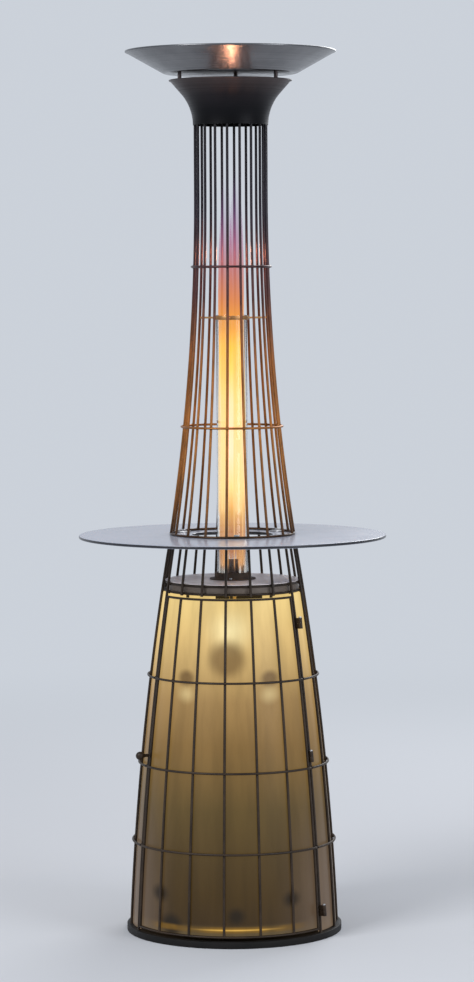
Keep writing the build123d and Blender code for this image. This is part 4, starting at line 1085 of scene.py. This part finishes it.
# Table, base and deck
def make_plates():
    corners = ring_corners(table_hole_radius, table_radius, table_bottom_height, table_top_height)
    table = lathe("table_plate", eased(corners, ease=0.0030, steps=6), table_finish, steps=192)
    settle(table, "frame", "table_paint", "table_top")
    corners = [(base_ring_inner, 0), (base_ring_outer, 0), (base_ring_outer, base_ring_height),
               (base_wall_inner, base_ring_height), (base_wall_inner, base_plate_bottom),
               (base_ring_inner, base_plate_bottom)]
    ring = lathe("base_hoop", eased(corners, ease=0.0016), base_finish, steps=160)
    settle(ring, "frame", "base_paint", "base_ring")
    corners = ring_corners(0, base_plate_radius, base_plate_bottom, base_plate_top)
    plate = lathe("base_floor", eased(corners, ease=0.001, closed=False), base_finish, closed=False)
    settle(plate, "frame", "base_paint", "base_plate")

    edge = cage_radius(deck_top, rod_radius) - deck_edge_gap
    under = deck_top - deck_thickness
    groove = deck_top - deck_groove_depth
    corners = [(burner_bore_radius, under), (edge, under), (edge, deck_top), (deck_groove_outer, deck_top),
               (deck_groove_outer - deck_groove_slope, groove),
               (deck_groove_inner + deck_groove_slope, groove),
               (deck_groove_inner, deck_top), (burner_bore_radius, deck_top)]
    settle(lathe("deck_plate", eased(corners, ease=0.0005), deck_finish), "frame", "deck_steel", "deck")
    # Sheet under the deck's edge, dark brown: painted shade across the gap between the deck and the rim hoop.
    foot, head = (cage_radius(height) - hoop_out - hoop_radius - skirt_gap
                  for height in (rim_hoop_height, deck_hoop_height))
    bottom = rim_hoop_height - hoop_radius
    corners = [(foot - skirt_sheet, bottom), (foot, bottom), (head, under), (head - skirt_sheet, under)]
    settle(lathe("deck_shade_skirt", eased(corners, ease=0.0003), gap_shade_finish), "frame", "deck_steel")


# Burner, glass and flame
def make_burner_set():
    flange = deck_top + seat_flange_thickness
    groove = seat_top - seat_groove_depth
    groove_inner = tube_inner - tube_gap
    corners = [(burner_bore_radius, deck_top), (seat_flange_radius, deck_top), (seat_flange_radius, flange),
               (seat_wall_radius + seat_fillet, flange), (seat_wall_radius, flange + seat_fillet),
               (seat_wall_radius, seat_top), (tube_fit_radius, seat_top), (tube_fit_radius, groove),
               (groove_inner, groove), (groove_inner, seat_top), (burner_bore_radius, seat_top)]
    cup = lathe("burner_cup", eased(corners, ease=0.0007), burner_finish, steps=96)
    settle(cup, "frame", "burner_iron", "burner_seat")
    corners = ring_corners(tube_inner, tube_radius, groove + touch_gap, tube_top_height)
    tube = lathe("flame_glass_tube", eased(corners, ease=0.0011), glass_finish, steps=96)
    settle(tube, "frame", "flame_glass", "glass_tube")

    ring_top = tube_ring_bottom + tube_ring_height
    corners = ring_corners(tube_fit_radius, tube_ring_outer, tube_ring_bottom, ring_top)
    band = lathe("band", eased(corners, ease=0.0008), hot_steel_finish, steps=96)
    height = (tube_ring_bottom + ring_top) / 2
    end = tower_radius(height) - rod_radius
    arm = [(0, tube_arm_overlap - tube_ring_outer, height), (0, -end, height)]
    arms = bars(hot_steel_finish, arm, three_places, tube_arm_radius)
    beads = welds(hot_steel_finish, end, height, three_places, arm_weld_half_size)
    settle(joined("tube_holder", [band, *arms, *beads]), "frame", "tower_steel", "tube_ring")


def flame_piece(name, finish, grids):
    """Sheets of flame through grids of points; the map runs across and along each sheet."""
    bm = bmesh.new()
    uv = bm.loops.layers.uv.new("flame_map")
    for grid in grids:
        verts = [[bm.verts.new(point) for point in row] for row in grid]
        rows, columns = len(grid) - 1, len(grid[0]) - 1
        for i in range(rows):
            for j in range(columns):
                corners = ((i, j), (i, j + 1), (i + 1, j + 1), (i + 1, j))
                face = bm.faces.new([verts[row][column] for row, column in corners])
                for loop, (row, column) in zip(face.loops, corners):
                    loop[uv].uv = (column / columns, row / rows)
    piece = built(name, bm, finish)
    piece.data.shade_smooth()
    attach(piece, "frame")


def make_flame():
    """Sheets of flame along the glass, and two tongues that leave its top."""
    sheets = []
    for i, top in enumerate(sheet_tops):
        middle = sheet_first_bearing + 2 * math.pi * i / len(sheet_tops)
        bearings = spread(middle - sheet_half_angle, middle + sheet_half_angle, flame_columns)
        sheets.append([
            [spot(flame_reach - sheet_lean * t * t, bearing, sheet_bottom + (top - sheet_bottom) * t)
             for bearing in bearings] for t in spread(0, 1, flame_rows)
        ])
    for i, top in enumerate(fin_tops):
        bearing = fin_first_bearing + 2 * math.pi * i / len(fin_tops)
        sheets.append([[spot(radius, bearing, height) for radius in spread(fin_inner, flame_reach, 7)]
                       for height in spread(fin_bottom, top, 24)])

    def tongue_row(t, phase, middle, top, wide, bearings):
        sway = tongue_sway * math.sin(tongue_sway_rate * t + phase)
        late = max(t - tongue_taper_start, 0) / (1 - tongue_taper_start)
        radius = tongue_tip_radius + wide * math.cos(late * quarter_turn) ** tongue_taper_power
        centre = Vector((middle + sway, sway, tongue_bottom + (top - tongue_bottom) * t))
        return [centre + spot(radius, bearing) for bearing in bearings]

    tongues = []
    for form in tongue_forms:
        for turn in (0, math.pi):
            bearings = spread(turn - tongue_half_angle, turn + tongue_half_angle, flame_columns)
            tongues.append([tongue_row(t, *form, bearings) for t in spread(0, 1, flame_rows)])
    flame_piece("flame_sheets", flame_sheet_finish, sheets)
    flame_piece("flame_tongues", flame_core_finish, tongues)


# Collar and dish
def bent_line(centre, radius, start, end, count):
    return [centre + radius * Vector((math.cos(a), math.sin(a))) for a in spread(start, end, count)]


def make_collar():
    centre = tower_head_radius + rod_radius + weld_gap + collar_flare_radius
    turn_end = math.asin(collar_arc_rise / collar_flare_radius)
    run = (collar_rise - collar_arc_rise) / math.cos(turn_end)

    def side(inset):
        radius = collar_flare_radius - inset
        line = [Vector((centre - radius * math.cos(a), collar_bottom_height + radius * math.sin(a)))
                for a in spread(0, turn_end, 18)]
        line.append(line[-1] + Vector((math.sin(turn_end), math.cos(turn_end))) * run)
        return line

    upper, lower = side(0.0), side(collar_sheet)
    hem = bent_line((upper[-1] + lower[-1]) / 2, collar_hem_radius, 2.3, -2.6, 9)
    outline = upper[:-1] + hem + lower[-2::-1]
    settle(lathe("flue_collar", outline, collar_finish), "frame", "collar_steel", "collar")


def make_dish():
    rim_height = dish_floor_height + dish_rim_rise
    inside_height = dish_floor_height + dish_sheet
    slope = math.atan2(dish_rim_rise, dish_rim_radius - dish_floor_radius)
    inside_radius = dish_floor_radius - dish_sheet * math.tan(slope / 2)
    under = [(0, dish_floor_height), (dish_floor_radius, dish_floor_height), (dish_rim_radius, rim_height)]
    over = [(dish_rim_radius - dish_sheet * math.sin(slope), rim_height + dish_sheet * math.cos(slope)),
            (inside_radius, inside_height), (0, inside_height)]
    bead = bent_line(Vector((dish_rim_radius, rim_height + dish_sheet / 2)), dish_bead_radius, -1.9, 2.7, 12)
    under, over = (eased(corners, dish_knee, steps=6, closed=False) for corners in (under, over))
    outline = under[:-1] + bead + over[1:]
    settle(lathe("heat_dish", outline, dish_finish, steps=192, closed=False), "frame", "dish_steel", "dish")
    outline = [(0, 0), (0.0060, 0), (0.0060, 0.0004), (0.0056, 0.0018), (0.0042, 0.0031), (0.0020, 0.0036),
               (0, 0.0036)]
    place = Matrix.Translation((0, -post_circle_radius, inside_height))
    screw = lathe("dish_screw", outline, steel_finish, steps=24, closed=False, place=place)
    settle(copies(screw, three_way / 2, three_way, 3), "frame", "bright_steel", "dish_screws")


# Gas side: hose, bottle and control knob
def make_hose():
    """Rubber hose from the regulator to the gas valve, with a crimped sleeve at each end."""
    data = bpy.data.curves.new("gas_hose_line", "CURVE")
    data.dimensions = "3D"
    line = data.splines.new("NURBS")
    line.points.add(len(hose_route) - 1)
    for point, place in zip(line.points, hose_route):
        point.co = (*place, 1)
    line.order_u = 3
    line.use_endpoint_u = True
    line.resolution_u = 12
    data.bevel_depth = hose_radius
    data.bevel_resolution = 5
    data.use_fill_caps = True
    data.materials.append(rubber_finish)
    hose = settle(new_object("gas_hose_line", data), "frame", "black_rubber", "gas_hose")

    bore, rim = hose_radius + touch_gap, hose_radius + sleeve_rim_wall
    crimps = [(hose_radius + sleeve_wall - crimp_depth * (i % 2), sleeve_length * (i + 0.5) / crimp_count)
              for i in range(crimp_count)]
    outline = [(bore, 0), (rim, 0)] + crimps + [(rim, sleeve_length), (bore, sleeve_length)]
    along_x = Matrix.Translation(hose_route[0]) @ Matrix.Rotation(quarter_turn, 4, "Y")
    along_z = Matrix.Translation(Vector(hose_route[-1]) - Vector((0, 0, sleeve_length)))
    for label, place in (("hose_sleeve_low", along_x), ("hose_sleeve_high", along_z)):
        piece = lathe(label, outline, brass_finish, steps=32, place=place)
        settle(piece, "frame", "gas_brass")


def make_bottle():
    """Gas bottle: two pressed halves with a weld round the middle, a neck and a rolled foot ring."""
    outline = [(0, bottle_bottom)]
    for a in spread(0, quarter_turn, 12):
        outline.append((bottle_radius - bottle_low_round * (1 - math.sin(a)),
                        bottle_bottom + bottle_low_round * (1 - math.cos(a))))
    seam = ((-0.012, 0), (-0.0045, 0), (-0.002, 0.0010), (0.002, 0.0010), (0.0045, 0), (0.012, 0))
    outline += [(bottle_radius + swell, bottle_seam + rise) for rise, swell in seam]
    for a in spread(0, quarter_turn, 12):
        outline.append((bottle_radius - bottle_high_round * (1 - math.cos(a)),
                        bottle_top - bottle_high_round * (1 - math.sin(a))))
    neck = ((0.024, 0), (0.0205, 0.003), (0.020, bottle_neck_rise - 0.0005), (0.0195, bottle_neck_rise),
            (0, bottle_neck_rise))
    outline += [(radius, bottle_top + rise) for radius, rise in neck]
    body = lathe("bottle_body", outline, bottle_finish, steps=96, closed=False)
    corners = ring_corners(bottle_foot_inner, bottle_foot_outer, base_plate_top, bottle_foot_top)
    foot = lathe("bottle_foot", eased(corners, ease=0.0014), bottle_finish, steps=96)
    settle(joined("bottle_shell", [body, foot]), "frame", "bottle_paint", "gas_bottle")


def make_knob():
    """Fluted control knob with a raised pointer, and setting marks on the tray round it."""
    low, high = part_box("gas_knob")
    middle = (low + high) / 2
    length = high.y - low.y
    to_rear = Matrix.Rotation(-quarter_turn, 4, "X")
    face = Matrix.Translation((middle.x, low.y, middle.z)) @ to_rear
    wall_foot, wall_head = Vector((0.0162, 0.0075)), Vector((0.0158, length - 0.003))
    corners = [(0, 0), (0.019, 0), (0.019, 0.0055), wall_foot, wall_head, (0.0130, length), (0, length)]
    ease_steps = 4
    outline = eased(corners, ease=0.0014, steps=ease_steps, closed=False)
    wall_start = 1 + 3 * ease_steps
    outline[wall_start:wall_start] = [wall_foot.lerp(wall_head, t) for t in (0.2, 0.4, 0.6, 0.8)]
    grip = {"low": 0.0085, "high": length - 0.004, "count": 18, "depth": 0.0011}
    knob = lathe("control_knob", outline, plastic_finish, steps=108, closed=False, place=face, flutes=grip)
    settle(knob, "gas_knob", "knob_plastic", "gas_knob")

    mark = [(0, 0), (0.0011, 0), (0.0011, 0.0004), (0.0007, 0.0007), (0, 0.0007)]
    pointer = lathe("knob_pointer", mark, ceramic_finish, steps=16, closed=False)
    reach = Matrix.Translation((0, -pointer_circle_radius, length - touch_gap))
    stretch = Matrix.Diagonal((1, pointer_stretch, 1, 1))
    pointer.data.transform(face @ Matrix.Rotation(off_mark, 4, "Z") @ reach @ stretch)
    settle(pointer, "gas_knob", "knob_plastic")
    place = Matrix.Translation((0, -mark_circle_radius, 0))
    dot = lathe("setting_marks", mark, ceramic_finish, steps=16, closed=False, place=place)
    marks = copies(dot, off_mark, mark_pitch, mark_count)
    marks.data.transform(Matrix.Translation((middle.x, tray_face, middle.z)) @ to_rear)
    settle(marks, "frame", "tray_paint")


make_lower_cage()
make_door_cage()
make_tower_cage()
make_diffuser()
make_plates()
make_burner_set()
make_flame()
make_collar()
make_dish()
make_door_pull()
make_hose()
make_bottle()
make_knob()

# Solids that keep their shape, by body: node, finish, slot and width of the eased edges
kept_solids = {
    "frame": (
        ("dish_posts", collar_finish, "collar_steel", 0.0),
        ("table_lugs", steel_finish, "bright_steel", 0.0004),
        ("table_bolts", steel_finish, "bright_steel", 0.0003),
        ("hinge_jamb_eyes", cage_finish, "cage_steel", 0.0003),
        ("hinge_pins", steel_finish, "bright_steel", 0.0),
        ("burner", burner_finish, "burner_steel", 0.0),
        ("burner_screws", steel_finish, "bright_steel", 0.0003),
        ("mixing_tube", steel_finish, "burner_steel", 0.0),
        ("injector", brass_finish, "gas_brass", 0.0003),
        ("igniter_electrode", sooted_finish, "electrode_ceramic", 0.0),
        ("thermocouple", steel_finish, "bright_steel", 0.0),
        ("control_tray", tray_finish, "tray_paint", 0.0005),
        ("gas_valve", casting_finish, "valve_metal", 0.0006),
        ("regulator", casting_finish, "valve_metal", 0.0006),
        ("bottle_valve", brass_finish, "gas_brass", 0.0005),
        ("bottle_guard", bottle_finish, "bottle_paint", 0.0006),
        ("button_barrels", plastic_finish, "knob_plastic", 0.0005),
        ("gas_pipe", copper_finish, "pipe_copper", 0.0),
        ("lamp_stems", lamp_finish, "lamp_paint", 0.0),
        ("lamp_housings", lamp_finish, "lamp_paint", 0.0005),
        ("globe_lamp", opal_finish, "lamp_glass", 0.0),
        ("spot_lenses", opal_finish, "lamp_glass", 0.0),
        ("bottle_stops", rubber_finish, "black_rubber", 0.0),
        ("door_magnet", ferrite_finish, "magnet_ferrite", 0.0005),
    ),
    "door": (
        ("hinge_door_eyes", cage_finish, "cage_steel", 0.0003),
        ("door_keeper", steel_finish, "bright_steel", 0.0004),
    ),
    "gas_spindle": (("gas_spindle", steel_finish, "bright_steel", 0.0003),),
    "igniter_button": (("igniter_button", button_finish, "button_plastic", 0.0),),
    "lamp_switch_button": (("lamp_switch_button", button_finish, "button_plastic", 0.0),),
    "handwheel": (("handwheel", wheel_finish, "handwheel_plastic", 0.0006),),
}
for body, solids in kept_solids.items():
    for solid, finish, slot_name, ease in solids:
        refined(solid, finish, body, slot_name, ease)


# Stage: one pale floor that runs into a pale background, soft lamps and the camera
def seen(tree):
    """One for rays that show what they meet: from the camera, a mirror or glass."""
    path = node(tree, "ShaderNodeLightPath").outputs
    direct = maths(tree, "MAXIMUM", path["Is Camera Ray"], path["Is Glossy Ray"])
    return maths(tree, "MAXIMUM", direct, path["Is Transmission Ray"])


def make_stage():
    backdrop = {"Color": (*backdrop_colour, 1), "Strength": 1.0}
    world = bpy.data.worlds.new("pale_room")
    bpy.context.scene.world = world
    world.use_nodes = True
    tree = world.node_tree
    tree.nodes.clear()
    light = node(tree, "ShaderNodeBackground", {"Color": (*room_colour, 1), "Strength": room_strength})
    view = node(tree, "ShaderNodeBackground", backdrop)
    both = node(tree, "ShaderNodeMixShader", {0: seen(tree), 1: light.outputs[0], 2: view.outputs[0]})
    tree.links.new(both.outputs[0], node(tree, "ShaderNodeOutputWorld").inputs["Surface"])

    pale = bpy.data.materials.new("pale_floor")
    pale.use_nodes = True
    tree = pale.node_tree
    tree.nodes.clear()
    apart = vector_maths(tree, "LENGTH", object_place(tree))["Value"]
    away = times(tree, ranged(tree, apart, floor_fade_start, floor_fade_end), seen(tree))
    lit = node(tree, "ShaderNodeBsdfDiffuse", {"Color": (*floor_colour, 1)})
    plain = node(tree, "ShaderNodeEmission", backdrop)
    both = node(tree, "ShaderNodeMixShader", {0: away, 1: lit.outputs[0], 2: plain.outputs[0]})
    tree.links.new(both.outputs[0], node(tree, "ShaderNodeOutputMaterial").inputs["Surface"])
    outline = [(0, 0), (2, 0), (8, 0), (floor_radius, 0), (floor_radius, -floor_thickness),
               (0, -floor_thickness)]
    floor = lathe("studio_floor", outline, pale, steps=64, closed=False)


def make_lamp(name, place, aim_height, size, power, colour):
    data = bpy.data.lights.new(name, "AREA")
    data.shape = "RECTANGLE"
    data.size, data.size_y = size
    data.energy = power
    data.color = colour
    lamp = new_object(name, data)
    lamp.location = place
    lamp.rotation_euler = (Vector((0, 0, aim_height)) - Vector(place)).to_track_quat("-Z", "Y").to_euler()


def make_flame_glow(height, colour):
    """Light of the flame on what stands round it."""
    data = bpy.data.lights.new("flame_glow", "POINT")
    data.energy = flame_glow_power
    data.color = colour
    data.shadow_soft_size = flame_glow_radius
    glow = new_object("flame_glow", data)
    glow.location = (0, 0, height)
    glow.visible_camera = False
    glow.visible_transmission = False


def make_camera():
    azimuth, yaw, pitch, roll = map(math.radians, (camera_azimuth, camera_yaw, camera_pitch, camera_roll))
    data = bpy.data.cameras.new("camera")
    data.sensor_width = 36.0
    data.lens = focal_pixels / max(image_size) * data.sensor_width
    data.clip_end = 100.0
    camera = new_object("camera", data)
    turn = Matrix.Rotation(azimuth - yaw, 4, "Z") @ Matrix.Rotation(quarter_turn - pitch, 4, "X")
    place = Matrix.Translation(spot(camera_distance, azimuth, camera_height))
    camera.matrix_world = place @ turn @ Matrix.Rotation(roll, 4, "Z")
    bpy.context.scene.camera = camera


make_stage()
make_lamp("key_lamp", (-3.2, -4.2, 4.2), aim_height=1.1, size=(2.6, 3.2), power=210, colour=(1, 1, 1))
make_lamp("fill_lamp", (4.2, -3.0, 2.6), aim_height=1.1, size=(2.6, 3.2), power=95, colour=(0.95, 0.97, 1.0))
make_lamp("back_lamp", (1.5, 4.5, 3.6), aim_height=1.2, size=(3.0, 2.4), power=110, colour=(1, 1, 1))
make_flame_glow(1.10, (1.0, 0.55, 0.20))
make_flame_glow(1.32, (1.0, 0.62, 0.26))
make_flame_glow(1.54, (1.0, 0.50, 0.16))
make_flame_glow(1.76, (1.0, 0.42, 0.22))
make_camera()
bpy.context.scene.view_settings.view_transform = "Standard"
